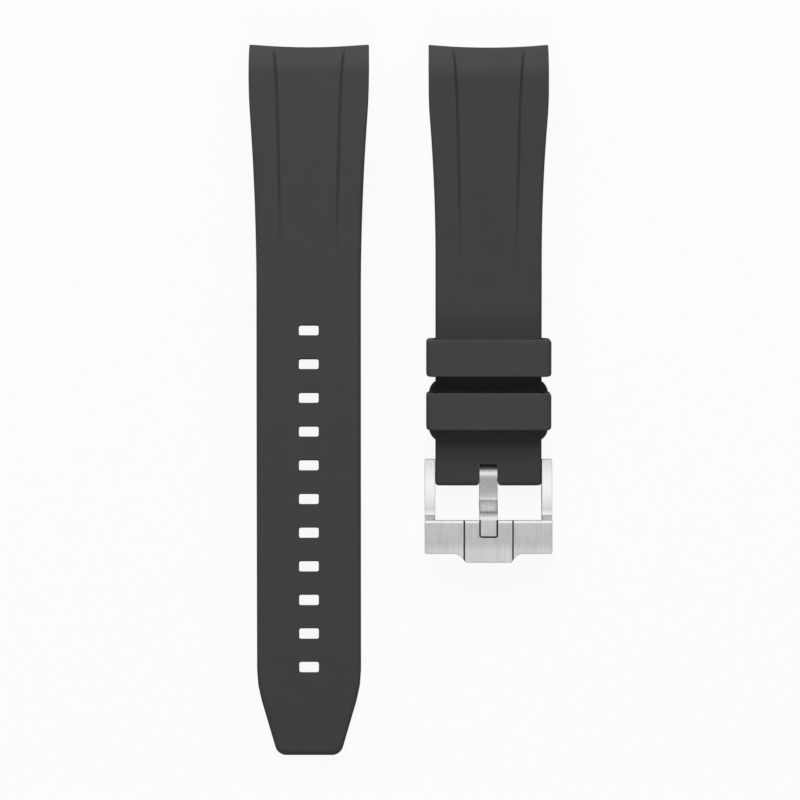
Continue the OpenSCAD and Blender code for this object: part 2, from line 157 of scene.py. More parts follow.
class GrooveSizes(PropertyGroup):
    """Sizes of the two fine grooves down each face"""
    width: length("Width", "Width of a groove", 0.56 * MM)
    depth: length("Depth", "Depth of a groove", 0.29 * MM)
    bend_depth: amount("Bend depth", "How many times deeper they are in the bend", 1.35, 4)
    low_gap: length("Lower gap", "Distance between the lower ends", 9.2 * MM)
    lug_gap: length("Lug gap", "Distance between the lug ends", 12.2 * MM)
    lower_end: length("Lower end", "From the bend to the lower ends", 39 * MM)
    upper_end: length("Upper end", "Past the bend to the upper ends", 6.6 * MM)


class TailSizes(PropertyGroup):
    """Sizes of the long half"""
    body: length("Body", "From the bend to the tip", 113 * MM)
    end_turn: angle("End turn", "Turn of the face in the middle of the lug end", 62)
    corner_turn: angle("Corner turn", "Turn of the face at the lug end's corners", 84)
    taper: length("Taper", "Narrowing of each side", 1.32 * MM)
    thickness: length("Thickness", "Thickness of the rubber", 2.5 * MM)
    arch_radius: length("Arch radius", "Radius that the tail was moulded with", 0.6)
    flare: length("Flare", "Length over which it widens to the lugs", 37 * MM)
    tip_length: length("Tip length", "Length of the tapered tip", 11.7 * MM)
    tip_width: length("Tip width", "Width of the tip's end", 10.5 * MM)
    tip_corner: length("Tip corner", "Rounding of the tip's corners", 1.35 * MM)
    shoulder: length("Shoulder", "Rounding where the tip starts", 18 * MM)
    edge: length("Edge rounding", "Rounding of the long edges", 0.85 * MM)


class HoleSizes(PropertyGroup):
    """Sizes of the adjustment holes"""
    count: IntProperty(name="Count", description="Number of holes", default=11, min=1)
    pitch: length("Pitch", "From hole to hole", 5.59 * MM)
    width: length("Width", "Size across the strap", 3.3 * MM)
    height: length("Height", "Size along the strap", 1.7 * MM)
    corner: length("Corner", "Rounding of the corners", 0.3 * MM)
    rim: length("Rim", "Rounding of the rims", 0.13 * MM)
    last: length("Last hole", "From the tip's end to the last hole", 14.7 * MM)
    patch: length("Patch", "Half width of the mesh set aside for a hole", 2.4 * MM)


class BuckleHalfSizes(PropertyGroup):
    """Sizes of the short half"""
    body: length("Body", "From the bend to the hinge axis", 66.1 * MM)
    end_turn: angle("End turn", "Turn of the face in the middle of the lug end", 67)
    corner_turn: angle("Corner turn", "Turn of the face at the lug end's corners", 89)
    taper: length("Taper", "Narrowing of each side", 1.14 * MM)
    thickness: length("Thickness", "Thickness of the rubber", 2.8 * MM)
    flare_start: length("Flare start", "From the bend to where it narrows", 1.7 * MM)
    flare: length("Flare", "Length over which it widens to the lugs", 28.5 * MM)
    end_radius: length("End radius", "Radius of the end round the spring bar", 1.8 * MM)
    end_square: amount("End squareness", "Power of the end's rounding: 2 is a half circle", 5, 12)
    end_blend: length("End blend", "Length over which the end thins down", 4.5 * MM)
    end_corner: length("End corner", "Rounding of the end's corners", 0.55 * MM)
    notch: length("Notch", "Width of the notch for the tongue", 3.2 * MM)
    notch_depth: length("Notch depth", "From the hinge axis to the notch's bottom", 1.78 * MM)
    notch_edge: length("Notch edge", "Rounding of the notch's edges", 0.1 * MM)
    ear_reach: length("Ear reach", "How far the ears stand out", 1.075 * MM)
    ear_span: length("Ear span", "Length over both pairs of ears", 10.5 * MM)
    ear_radius: length("Ear radius", "Rounding of the ears", 2.4 * MM)
    ear_seat: length("Ear seat", "Length between the ears, for the keeper", 6.2 * MM)
    edge: length("Edge rounding", "Rounding of the long edges", 0.7 * MM)
    ear_edge: length("Ear edge", "Rounding of the edges at the ears", 0.4 * MM)


class KeeperSizes(PropertyGroup):
    """Sizes of the two rubber loops"""
    width: length("Width", "Outside width", node_size("fixed_keeper").x)
    height: length("Height", "Outside height", 8.3 * MM)
    along: length("Length", "Length along the strap", 6.15 * MM)
    wall: length("Wall", "Thickness of the rubber", 1.3 * MM)
    corner: length("Corner", "Rounding of the outer corners", 1.2 * MM)
    edge: length("Edge rounding", "Rounding of the outer edges on the face", 0.24 * MM)
    side_edge: length("Side rounding", "Rounding of the outer edges at the sides", 0.55 * MM)
    inner_edge: length("Inner edge", "Rounding of the inner edges", 0.2 * MM)
    low: length("Drop", "From the hinge axis down to the underside", 2.4 * MM)
    fixed_place: length("Fixed keeper", "From the hinge axis to its middle", 10.8 * MM)
    free_place: length("Free keeper", "From the hinge axis to its middle", 19.7 * MM)


class BuckleSizes(PropertyGroup):
    """Sizes of the steel buckle"""
    width: length("Width", "Outside width", node_size("buckle_frame").x)
    arm: length("Arm", "Thickness of each arm", 1.76 * MM)
    arm_height: length("Arm height", "Height of each arm", 3.9 * MM)
    arm_end: length("Arm end", "From the hinge axis to an arm's free end", 2.6 * MM)
    arm_corner: length("Arm corner", "Rounding of an arm's free end", 0.38 * MM)
    bar: length("Bar", "From the hinge axis to the bar", 7.6 * MM)
    wing: length("Wings", "Depth of the wings", 5.62 * MM)
    top: length("Top", "From the hinge axis up to the bar's face", 3.3 * MM)
    thickness: length("Thickness", "Thickness of the bar", 2.6 * MM)
    drop: length("Drop", "Fall of the bar's face to the back", 0.44 * MM)
    chamfer: length("Chamfer", "Chamfer along the front edge", 0.5 * MM)
    chamfer_fall: length("Chamfer fall", "Height of the chamfer", 0.1 * MM)
    arm_peak: length("Arm peak", "From the hinge axis to the arm's highest place", 3.9 * MM)
    arm_round: length("Arm round", "Radius of the arm's crowned top", 23 * MM)
    cove: length("Cove", "Length of the cove at the foot of the step", 0.45 * MM)
    step: length("Step", "Length of the step up to the bar", 0.82 * MM)
    block_width: length("Block width", "Width of the raised block", 8.2 * MM)
    block: length("Block depth", "Depth of the block", 7.08 * MM)
    rise: length("Block rise", "Height of the block over the wings", 0.3 * MM)
    block_chamfer: length("Block chamfer", "Chamfer of the back corners", 0.35 * MM)
    groove: length("Groove", "Size of the grooves beside the block", 0.18 * MM)
    gusset: length("Gusset", "Size of the sloping gussets", 1.42 * MM)
    pin: length("Pin hole", "Radius of the holes in the arms", 0.55 * MM)
    bevel: length("Edge bevel", "Bevel of the milled edges", 0.1 * MM)


class TongueSizes(PropertyGroup):
    """Sizes of the steel tongue"""
    width: length("Width", "Width", 3.1 * MM)
    tip_width: length("Tip width", "Width of the tip", 2.66 * MM)
    thickness: length("Thickness", "Thickness of the strip", 1.1 * MM)
    loop: length("Loop", "Outer radius of the loop", 1.7 * MM)
    bore: length("Bore", "Radius of the hole in the loop", 0.95 * MM)
    reach: length("Length", "From the hinge axis to the tip", 10.3 * MM)
    loop_turn: angle("Loop turn", "Turn of the loop before the slope", 32)
    rise_from: length("Rise from", "From the hinge axis to the foot of the rise", 4.15 * MM)
    rise_to: length("Rise to", "From the hinge axis to the top of the rise", 7.3 * MM)
    low: length("Low point", "Depth of the slope's foot under the hinge axis", 0.19 * MM)
    tip_fall: length("Tip fall", "Fall of the tip's face to its end", 0.25 * MM)
    slot_gap: length("Slot gap", "Side gap in the slot", 0.22 * MM)
    tip_gap: length("Tip gap", "Gap under the tip", 0.08 * MM)
    seam: length("Seam", "Width of the seam where the loop closes", 0.12 * MM)
    bevel: length("Edge bevel", "Bevel of the edges", 0.1 * MM)


class SpringSizes(PropertyGroup):
    """Sizes of the spring inside the spring bar"""
    wire: length("Wire", "Radius of the spring's wire", 0.1 * MM)
    turns: IntProperty(name="Turns", description="Number of turns in each half", default=9, min=2)


class Finish(PropertyGroup):
    """Colours and surfaces"""
    strap_colour: colour("Strap", "Colour of the straps' rubber", (0.0542, 0.0542, 0.0552))
    keeper_colour: colour("Keepers", "Colour of the keepers' rubber", (0.0565, 0.0565, 0.0575))
    rubber_roughness: amount("Rubber roughness", "Roughness of the rubber", 0.56)
    bar_colour: colour("Brushed steel", "Colour of the brushed faces", (0.8, 0.8, 0.805))
    arm_colour: colour("Bright steel", "Colour of the bright arms", (0.96, 0.965, 0.97))
    tongue_colour: colour("Tongue steel", "Colour of the tongue", (0.89, 0.89, 0.9))
    # Painted shade: a darker steel for the faces in the slot and the grooves, where shade falls
    recess_painted_shade: colour("Recess Painted Shade", "Colour of the steel in slots", (0.42, 0.42, 0.425))
    pin_colour: colour("Spring bar steel", "Colour of the spring bar", (0.6, 0.6, 0.61))


class StageSettings(PropertyGroup):
    """Camera, lamps and floor"""
    camera_height: length("Camera height", "Camera over the table", 0.9)
    camera_x: FloatProperty(name="Camera X", description="Camera's place across", unit="LENGTH",
                            default=-0.12 * MM)
    frame_width: length("Picture width", "Width of the picture at the strap's face", 133.33 * MM)
    face_height: length("Face height", "Height of the strap's face over the table", 5 * MM)
    sensor: FloatProperty(name="Sensor", description="Sensor width in millimetres", default=36)
    floor_colour: colour("Floor", "Colour of the floor", (0.65, 0.65, 0.65))
    lamp_reach: length("Lamp reach", "Distance of both lamps", 1.4)
    key_power: amount("Key lamp", "Power of the large lamp, in watts", 19.8, 100)
    key_height: angle("Key height", "Height of the large lamp over the horizon", 41)
    key_turn: angle("Key turn", "Turn of the large lamp to the left", 4)
    fill_power: amount("Fill lamp", "Power of the small lamp at the front, in watts", 4.8, 100)
    fill_height: angle("Fill height", "Height of the small lamp over the horizon", 41)
    sky: amount("Sky", "Strength of the light from all round", 0.37, 10)


class DiveStrapSettings(PropertyGroup):
    """Everything that can be changed"""
    lug: PointerProperty(type=LugEndSizes)
    groove: PointerProperty(type=GrooveSizes)
    tail: PointerProperty(type=TailSizes)
    hole: PointerProperty(type=HoleSizes)
    half: PointerProperty(type=BuckleHalfSizes)
    keeper: PointerProperty(type=KeeperSizes)
    buckle: PointerProperty(type=BuckleSizes)
    tongue: PointerProperty(type=TongueSizes)
    spring: PointerProperty(type=SpringSizes)
    finish: PointerProperty(type=Finish)
    stage: PointerProperty(type=StageSettings)


# Outlines

def unit(v):
    """The direction of a plane vector."""
    return v / np.hypot(*v)


def corner_arc(before, corner, after, radius):
    """Points of the arc that rounds one corner of an outline."""
    if radius <= 0:
        return [corner]
    a, b = unit(before - corner), unit(after - corner)
    half = math.acos(np.clip(a @ b, -1, 1)) / 2
    centre = corner + unit(a + b) * radius / math.sin(half)
    spoke = corner + a * radius / math.tan(half) - centre
    start = math.atan2(spoke[1], spoke[0])
    turn = a[0] * b[1] - a[1] * b[0]
    sweep = math.copysign(math.pi - 2 * half, -turn)
    steps = math.ceil(abs(sweep) / math.radians(CORNER_STEP))
    angles = [start + sweep * i / steps for i in range(steps + 1)]
    return [centre + radius * np.array((math.cos(t), math.sin(t))) for t in angles]


def outline(corners):
    """A closed outline from corners given as (first, second, rounding)."""
    flat = [np.array(c[:2], float) for c in corners]
    points = []
    for i, c in enumerate(corners):
        after = flat[(i + 1) % len(flat)]
        points += corner_arc(flat[i - 1], flat[i], after, c[2])
    return points


def rectangle(left, right, low, high):
    """The four corners of a plain rectangle."""
    return [(left, low), (right, low), (right, high), (left, high)]


def box_corners(width, height, radius):
    """The four corners of a rounded rectangle round the origin."""
    w, h = width / 2, height / 2
    return [(*corner, radius) for corner in rectangle(-w, w, -h, h)]


def mirrored(side):
    """A right-hand edge followed by its mirror image."""
    return list(side) + [(-c[0], c[1], c[2]) for c in reversed(side)]


def both_sides(right):
    """Places across on both sides, from those on the right and the middle."""
    return [-x for x in right[:0:-1]] + right


# Rounded edges, as drops of a face near its edge

def edge_drop(gap, radius, deep):
    """How far a face has dropped at a gap from its edge, on a rounding this wide and deep."""
    share = np.clip(gap / radius, 0, 1)
    return deep * (1 - np.sqrt(1 - (1 - share) ** 2))


def edge_steps(radius, count=6):
    """Distances from an edge at which its rounding needs a point, and one just past it."""
    turns = np.linspace(0, math.pi / 2, count + 1)
    return np.append(radius * (1 - np.cos(turns)), radius * 1.2)


def corner_gap(side, end, radius):
    """Gap to the edge near a rounded corner, from the gaps to its two straight edges."""
    inside = (side < radius) & (end < radius)
    return np.where(inside, radius - np.hypot(radius - side, radius - end),
                    np.minimum(side, end))


def corner_cut(end, radius):
    """What a rounded corner takes off the half width, at a distance from the end."""
    reach = np.clip(radius - end, 0, radius)
    return radius - np.sqrt(radius ** 2 - reach ** 2)


def smooth(share):
    """A share that starts and ends gently."""
    share = np.clip(share, 0, 1)
    return share * share * (3 - 2 * share)


def spaced(start, stop, step):
    """Even places from start up to stop, without stop itself."""
    count = max(1, round(abs(stop - start) / step))
    return list(np.linspace(start, stop, count + 1)[:-1])


class StrapShape:
    """One rubber half in strap coordinates.

    Across is x. Along is 0 where the bend starts, negative down the strap, and is measured
    on the face round the bend. Side views are in (y, z) from the start of the bend.
    """

    def __init__(self, settings, sizes, tip, tip_corner):
        self.lug = lug = settings.lug
        self.groove = settings.groove
        self.sizes = sizes
        self.tip, self.tip_corner = tip, tip_corner
        self.narrow = lug.width / 2 - sizes.taper
        tilt = lug.case_tilt
        self.along = np.array((math.cos(tilt), -math.sin(tilt)))
        self.up = np.array((math.sin(tilt), math.cos(tilt)))
        turn = lug.bend_turn
        self.rim = lug.bend_radius * np.array((math.sin(turn), math.cos(turn) - 1))
        inner = self.rim - lug.height * self.up
        reach = lug.fillet * math.tan(tilt / 2)
        knee = inner - self.along * (sizes.thickness + inner[1]) / self.along[1]
        self.fillet_start = knee[0] - reach
        self.foot = np.hypot(*(inner - knee)) - reach
        self.lug_end = lug.bend_radius * turn

    def case_sag(self, x):
        """How far the case's curve is behind its foremost point."""
        return self.lug.case_radius - np.sqrt(self.lug.case_radius ** 2 - x ** 2)

    def nose_points(self, x, v):
        """Face and back of the curved end, in side view."""
        lug = self.lug
        tilt, bend, fillet = lug.case_tilt, lug.bend_radius, lug.fillet
        run = v - self.fillet_start
        span = self.lug_end - self.fillet_start
        sag = self.case_sag(x)
        ends = math.sin(self.sizes.end_turn), math.sin(self.sizes.corner_turn)
        end_turn = np.arcsin(ends[0] + (ends[1] - ends[0]) * (2 * x / lug.width) ** 2)
        first = lug.first_turn
        start = lug.first_start + lug.first_bend * math.sin(first)
        drop = lug.first_bend * (1 - math.cos(first))
        chord = bend * np.sin(end_turn) - start, bend * (1 - np.cos(end_turn)) - drop
        more = np.arctan2(chord[1], chord[0]) - first
        rest = np.hypot(*chord) * more / np.sin(more)
        bent = lug.first_start + lug.first_bend * first
        keep = 2 * lug.edge
        places = []
        for whole in (bent + rest - self.fillet_start, fillet * tilt + self.foot + sag):
            near = run * (whole - keep) / (span - keep)
            places.append(np.where(run < span - keep, near, whole - (span - run)))
        y = places[0] + self.fillet_start
        flat = np.minimum(y, lug.first_start)
        turn = np.clip((y - lug.first_start) / lug.first_bend, 0, first)
        past = np.maximum(y - bent, 0)
        half = more * past / rest
        reach = past * np.sinc(half / math.pi)
        face = np.stack((
            flat + lug.first_bend * np.sin(turn) + reach * np.cos(first + half),
            self.face_height(flat) - lug.first_bend * (1 - np.cos(turn))
            - reach * np.sin(first + half)))
        turn = np.minimum(places[1] / fillet, tilt)
        past = np.maximum(places[1] - fillet * tilt, 0)
        back = np.stack((
            self.fillet_start + fillet * np.sin(turn) + past * self.along[0],
            self.back_height(self.fillet_start) - fillet * (1 - np.cos(turn))
            + past * self.along[1]))
        return face, back

    def side_points(self, x, v):
        """Face and back in side view, for any place along."""
        body = np.minimum(v, self.fillet_start)
        face = np.stack((body, self.face_height(body)))
        back = np.stack((body, self.back_height(body)))
        nose = v > self.fillet_start
        nose_face, nose_back = self.nose_points(x, np.maximum(v, self.fillet_start))
        return np.where(nose, nose_face, face), np.where(nose, nose_back, back)

    def flared(self, v, start, run):
        """Half width along the flare: hollow at first, then rounded over at the lugs."""
        share = np.clip(1 - (-v - start) / run, 0, 1)
        join = 0.82
        wide = np.where(share < join, share ** 2 / join, 1 - (1 - share) ** 2 / (1 - join))
        return self.narrow + (self.lug.width / 2 - self.narrow) * wide

    def half_width(self, v):
        """Half width with the corners at both ends rounded."""
        return (self.straight_width(v) - corner_cut(self.lug_end - v, self.lug.corner)
                - corner_cut(v - self.tip, self.tip_corner))

    def edge(self, v):
        """Rounding of the long edges: fine at the lugs and full down the strap."""
        start, run = 2 * MM, 16 * MM
        share = smooth((-v - start) / run)
        return self.lug.edge + (self.sizes.edge - self.lug.edge) * share

    def groove_place(self, v):
        """Half the distance between the grooves, and how full they are, from 0 to 1."""
        sizes = self.groove
        share = np.clip((v + sizes.lower_end) / (sizes.upper_end + sizes.lower_end), 0, 1)
        even, bowed, kicked = 0.3, 0.3, 0.4
        spread = even * share + bowed * share ** 2 + kicked * share ** 9
        place = (sizes.low_gap + (sizes.lug_gap - sizes.low_gap) * spread) / 2
        fade_in, fade_out = 0.55, 0.075
        full = smooth(share / fade_in) * smooth((1 - share) / fade_out)
        return place, full

    def groove_dent(self, x, v):
        """Depth of the grooves under the face."""
        place, full = self.groove_place(v)
        half = self.groove.width / 2
        off = np.clip(np.abs(np.abs(x) - place) / half, 0, 1)
        before, run = 2.5 * MM, 3 * MM
        more = (self.groove.bend_depth - 1) * smooth((v + before) / run)
        return self.groove.depth * (1 + more) * full * np.cos(off * math.pi / 2) ** 2

    def outer_columns(self, v, inner):
        """Places across from an inner column out to the edge, for one row.

        Nine lines follow the groove, two lie on each side of it, and the last are the edge's.
        """
        width = float(self.half_width(v))
        edge = float(self.edge(v))
        band = width - edge_steps(edge)[::-1] * self.edge_slant(v)
        room = float(band[0]) - inner
        half = min(0.65 * self.groove.width, 0.12 * room)
        place = float(min(self.groove_place(v)[0], inner + 0.55 * room))
        lines = place + half * np.array((-1, -0.66, -0.4, -0.2, 0, 0.2, 0.4, 0.66, 1))
        middle = inner + (lines[0] - inner) * np.array((0.35, 0.7))
        outer = lines[-1] + (band[0] - lines[-1]) * np.array((0.33, 0.66))
        return [*middle, *lines, *outer, *band]

    def edge_slant(self, v):
        """How much wider the rounding is across than square to a slanting edge."""
        step = 0.05 * MM
        return math.hypot(1, float(self.straight_width(v + step)
                                   - self.straight_width(v - step)) / (2 * step))

    def lug_rows(self):
        """Places along for rows from the start of the bend's fillet to the lug end."""
        end = [self.lug_end - e for e in edge_steps(self.lug.edge)[::-1]]
        return spaced(self.fillet_start, end[0], LUG_STEP) + end

    def lift(self, points, hole_gaps):
        """Face and back points of the flat mesh, from its points and their gaps to a hole."""
        x, v = points.T
        face, back = self.side_points(x, v)
        middle = (face + back) / 2
        half = np.hypot(*(face - back)) / 2
        up = np.where(half > WELD, (face - back) / np.maximum(2 * half, WELD), [[0], [1]])
        edge = np.array(self.edge(v))
        thick = half - edge_drop(self.edge_gap(x, v), edge, np.minimum(edge, half))
        thick -= self.hole_drop(x, v, hole_gaps, thick)
        upper = middle + up * (thick - self.groove_dent(x, v))
        lower = middle - up * thick
        return (np.stack((x, upper[0], upper[1]), 1), np.stack((x, lower[0], lower[1]), 1))


class TailShape(StrapShape):
    """The long half: a gentle arch with a tapered tip and a row of holes."""

    def __init__(self, settings):
        tail = settings.tail
        super().__init__(settings, tail, -tail.body, tail.tip_corner)
        self.hole = settings.hole
        side = [(self.narrow, 2 * self.lug.width, 0), (self.narrow, self.tip + tail.tip_length,
                tail.shoulder), (tail.tip_width / 2, self.tip, 0)]
        line = outline(side + [(0, self.tip, 0)])[1:-1]
        self.side_line = np.array(line[::-1])

    def face_height(self, v):
        """Height of the arched face."""
        return np.sqrt(self.sizes.arch_radius ** 2 - v ** 2) - self.sizes.arch_radius

    def back_height(self, v):
        """Height of the arched underside."""
        radius = self.sizes.arch_radius
        return np.sqrt((radius - self.sizes.thickness) ** 2 - v ** 2) - radius

    def straight_width(self, v):
        """Half width before the corners are rounded."""
        tip = np.interp(v, self.side_line[:, 1], self.side_line[:, 0])
        return self.flared(v, 0, self.sizes.flare) + tip - self.narrow

    def edge_gap(self, x, v):
        """Distance to the outline."""
        slope = np.hypot(1, np.gradient(self.side_line[:, 0], self.side_line[:, 1]))
        slant = np.interp(v, self.side_line[:, 1], slope)
        side = (self.straight_width(v) - np.abs(x)) / slant
        tip = corner_gap(side, v - self.tip, self.tip_corner)
        return np.minimum(tip, corner_gap(side, self.lug_end - v, self.lug.corner))

    def hole_drop(self, x, v, gaps, thick):
        """Drop of the faces at the rims of the holes."""
        return edge_drop(gaps, self.hole.rim, self.hole.rim)

    def columns(self, v):
        """Places across for one row, with a patch in the middle for a hole."""
        room = float(self.half_width(v)) - self.sizes.edge
        patch = min(self.hole.patch, 0.45 * room)
        inner = list(np.linspace(0, patch, HOLE_COLUMNS // 2 + 1))
        right = inner + self.outer_columns(v, patch)
        return both_sides(right)

    def rows(self):
        """Places along for all rows, from the tip to the lug end."""
        hole = self.hole
        first = self.tip + hole.last - hole.pitch / 2
        last = first + hole.pitch * hole.count
        turns = np.linspace(0, math.pi / 2, 11)
        tip = [self.tip + self.tip_corner * (1 - math.cos(t)) for t in turns]
        holes = list(np.linspace(first, last, hole.count * HOLE_ROWS + 1))[:-1]
        return (tip[:-1] + spaced(tip[-1], first, NEAR_STEP) + holes
                + spaced(last, self.fillet_start, PLAIN_STEP) + self.lug_rows())

    def plan(self):
        """The whole half as a flat mesh with its holes."""
        plan = Plan()
        rows = self.rows()
        columns = [self.columns(v) for v in rows]
        middle = (len(columns[0]) - 1) // 2
        patch = range(middle - HOLE_COLUMNS // 2, middle + HOLE_COLUMNS // 2)
        centres = [self.tip + self.hole.last + i * self.hole.pitch
                   for i in range(self.hole.count)]
        low = centres[0] - self.hole.pitch / 2
        high = centres[-1] + self.hole.pitch / 2

        def keep(i, k):
            return not (k in patch and low < (rows[i] + rows[i + 1]) / 2 < high)

        plan.grid(columns, rows, keep)
        for centre in centres:
            self.hole_rings(plan, centre)
        return plan

    def hole_rings(self, plan, centre):
        """Rings of the flat mesh round one hole."""
        hole = self.hole
        half = (hole.patch, hole.pitch / 2)
        box = rectangle_loop(HOLE_COLUMNS, HOLE_ROWS)
        rings = [plan.loop([(x * half[0], centre + y * half[1]) for x, y in box])]
        margin = 0.5 * MM
        for out in [margin, *edge_steps(hole.rim, 4)[::-1]]:
            corner = hole.corner + out
            inner = np.array((hole.width / 2, hole.height / 2)) + out - corner
            ring = []
            for side in box:
                point = np.array(side) * (inner + corner)
                past = point - np.clip(point, -inner, inner)
                reach = np.hypot(*past)
                if np.all(np.abs(past) > 0):
                    point = np.clip(point, -inner, inner) + past * corner / reach
                ring.append((point[0], centre + point[1]))
            rings.append(plan.loop(ring, out))
        plan.bridge(rings)


class BuckleShape(StrapShape):
    """The short half: ears for the fixed keeper, a round end and a notch for the tongue."""

    def __init__(self, settings):
        half = settings.half
        super().__init__(settings, half, -half.body - half.end_radius, half.end_corner)
        self.keeper_place = settings.keeper.fixed_place - self.sizes.body

    def end_half(self, v):
        """Half thickness of the squared round end, past the hinge axis."""
        sizes = self.sizes
        past = np.clip((-sizes.body - v) / sizes.end_radius, 0, 1)
        return sizes.end_radius * (1 - past ** sizes.end_square) ** (1 / sizes.end_square)

    def face_height(self, v):
        """Height of the face, which turns down round the end."""
        return self.end_half(v) - self.sizes.end_radius

    def back_height(self, v):
        """Height of the underside, which thickens to the end and turns up round it."""
        sizes = self.sizes
        turned = -sizes.end_radius - self.end_half(v)
        share = np.clip((v + sizes.body) / sizes.end_blend, 0, 1)
        blend = -2 * sizes.end_radius + (2 * sizes.end_radius - sizes.thickness) * share
        return np.where(v < -sizes.body, turned, blend)

    def straight_width(self, v):
        """Half width with the ears, before the corners are rounded."""
        return self.flared(v, self.sizes.flare_start, self.sizes.flare) + self.ear(v)

    def ear(self, v):
        """How far the ears stand out."""
        sizes = self.sizes
        off = np.abs(v - self.keeper_place)
        turn = np.clip((off - sizes.ear_span / 2 + sizes.ear_radius) / sizes.ear_radius, 0, 1)
        out = sizes.ear_reach - sizes.ear_radius * (1 - np.sqrt(1 - turn ** 2))
        return np.where(off > sizes.ear_seat / 2, np.maximum(out, 0), 0)

    def edge(self, v):
        """Rounding of the long edges, finer at the ears."""
        near = np.abs(v - self.keeper_place) - self.sizes.ear_span / 2
        run = 3 * MM
        share = smooth(near / run)
        return np.minimum(super().edge(v),
                          self.sizes.ear_edge + (self.sizes.edge - self.sizes.ear_edge) * share)

    def edge_slant(self, v):
        """The ears' ends are kept as steep as they are."""
        steepest = 1.6
        return min(super().edge_slant(v), steepest)

    def edge_gap(self, x, v):
        """Distance to the outline."""
        tip = corner_cut(v - self.tip, self.tip_corner)
        slants = np.array([self.edge_slant(place) for place in np.unique(v)])
        slant = slants[np.searchsorted(np.unique(v), v)]
        side = (self.straight_width(v) - tip - np.abs(x)) / slant
        return np.maximum(corner_gap(side, self.lug_end - v, self.lug.corner), 0)

    def notch_half(self, v):
        """Half width of the notch, with a rounded mouth."""
        return self.sizes.notch / 2 + corner_cut(v - self.tip, self.tip_corner)

    def hole_drop(self, x, v, gaps, thick):
        """Drop of the faces at the edges of the notch."""
        bottom = self.sizes.notch_depth - self.sizes.body
        side = np.abs(x) - self.notch_half(v)
        above = v - bottom
        gap = np.where((side > 0) & (above > 0), np.hypot(side, above),
                       np.maximum(side, above))
        edge = self.sizes.notch_edge
        return edge_drop(np.maximum(gap, 0), edge, np.minimum(edge, thick))

    def columns(self, v):
        """Places across for one row, with lines along the notch's sides."""
        notch = float(self.notch_half(v))
        inner = [*np.linspace(0, notch, 4)[:-1], *(notch + edge_steps(self.sizes.notch_edge))]
        right = inner + self.outer_columns(v, inner[-1])
        return both_sides(right)

    def rows(self):
        """Places along for all rows, from the round end to the lug end."""
        sizes = self.sizes
        turns = np.radians([90, 88, 85, 81, 76, 70, 63, 56, 49, 42, 35, 28, 20, 12, 5])
        power = 2 / sizes.end_square
        end = [-sizes.body - sizes.end_radius * math.sin(t) ** power for t in turns]
        bottom = sizes.notch_depth - sizes.body
        notch = [bottom + e for e in edge_steps(sizes.notch_edge)]
        ears = []
        near = sizes.ear_seat / 2
        arc = sizes.ear_span / 2 - sizes.ear_radius
        start = math.acos(1 - sizes.ear_reach / sizes.ear_radius)
        turns = np.linspace(start, 0, 9)
        # Rows just before, at and past the step where the keeper's seat ends
        offs = [near - 0.02 * MM, near + 0.001 * MM, near + 0.1 * MM]
        offs += [arc + sizes.ear_radius * math.sin(t) for t in turns[::-1]]
        offs += [arc + sizes.ear_radius * math.sin(start) + 0.25 * MM]
        for side in (-1, 1):
            ears += sorted(self.keeper_place + side * off for off in offs)
        lower, upper = ears[:len(offs)], ears[len(offs):]
        margin = 0.3 * MM
        return [*end, *spaced(-sizes.body, bottom, NOTCH_STEP), *notch,
                *spaced(notch[-1] + NOTCH_STEP, lower[0] - margin, NEAR_STEP), *lower,
                *spaced(lower[-1] + NEAR_STEP, upper[0] - margin, SEAT_STEP), *upper,
                *spaced(upper[-1] + NEAR_STEP, self.fillet_start, PLAIN_STEP), *self.lug_rows()]

    def plan(self):
        """The whole half as a flat mesh with its notch."""
        plan = Plan()
        rows = self.rows()
        columns = [self.columns(v) for v in rows]
        middle = (len(columns[0]) - 1) // 2
        bottom = self.sizes.notch_depth - self.sizes.body

        def keep(i, k):
            return not (middle - 3 <= k < middle + 3 and rows[i + 1] <= bottom + WELD)

        plan.grid(columns, rows, keep)
        return plan


# Meshes

def rectangle_loop(columns, rows):
    """Points round the square from -1 to 1, against the clock, with these segments a side."""
    low = [(-1 + 2 * i / columns, -1) for i in range(columns)]
    right = [(1, -1 + 2 * i / rows) for i in range(rows)]
    high = [(1 - 2 * i / columns, 1) for i in range(columns)]
    left = [(-1, 1 - 2 * i / rows) for i in range(rows)]
    return low + right + high + left


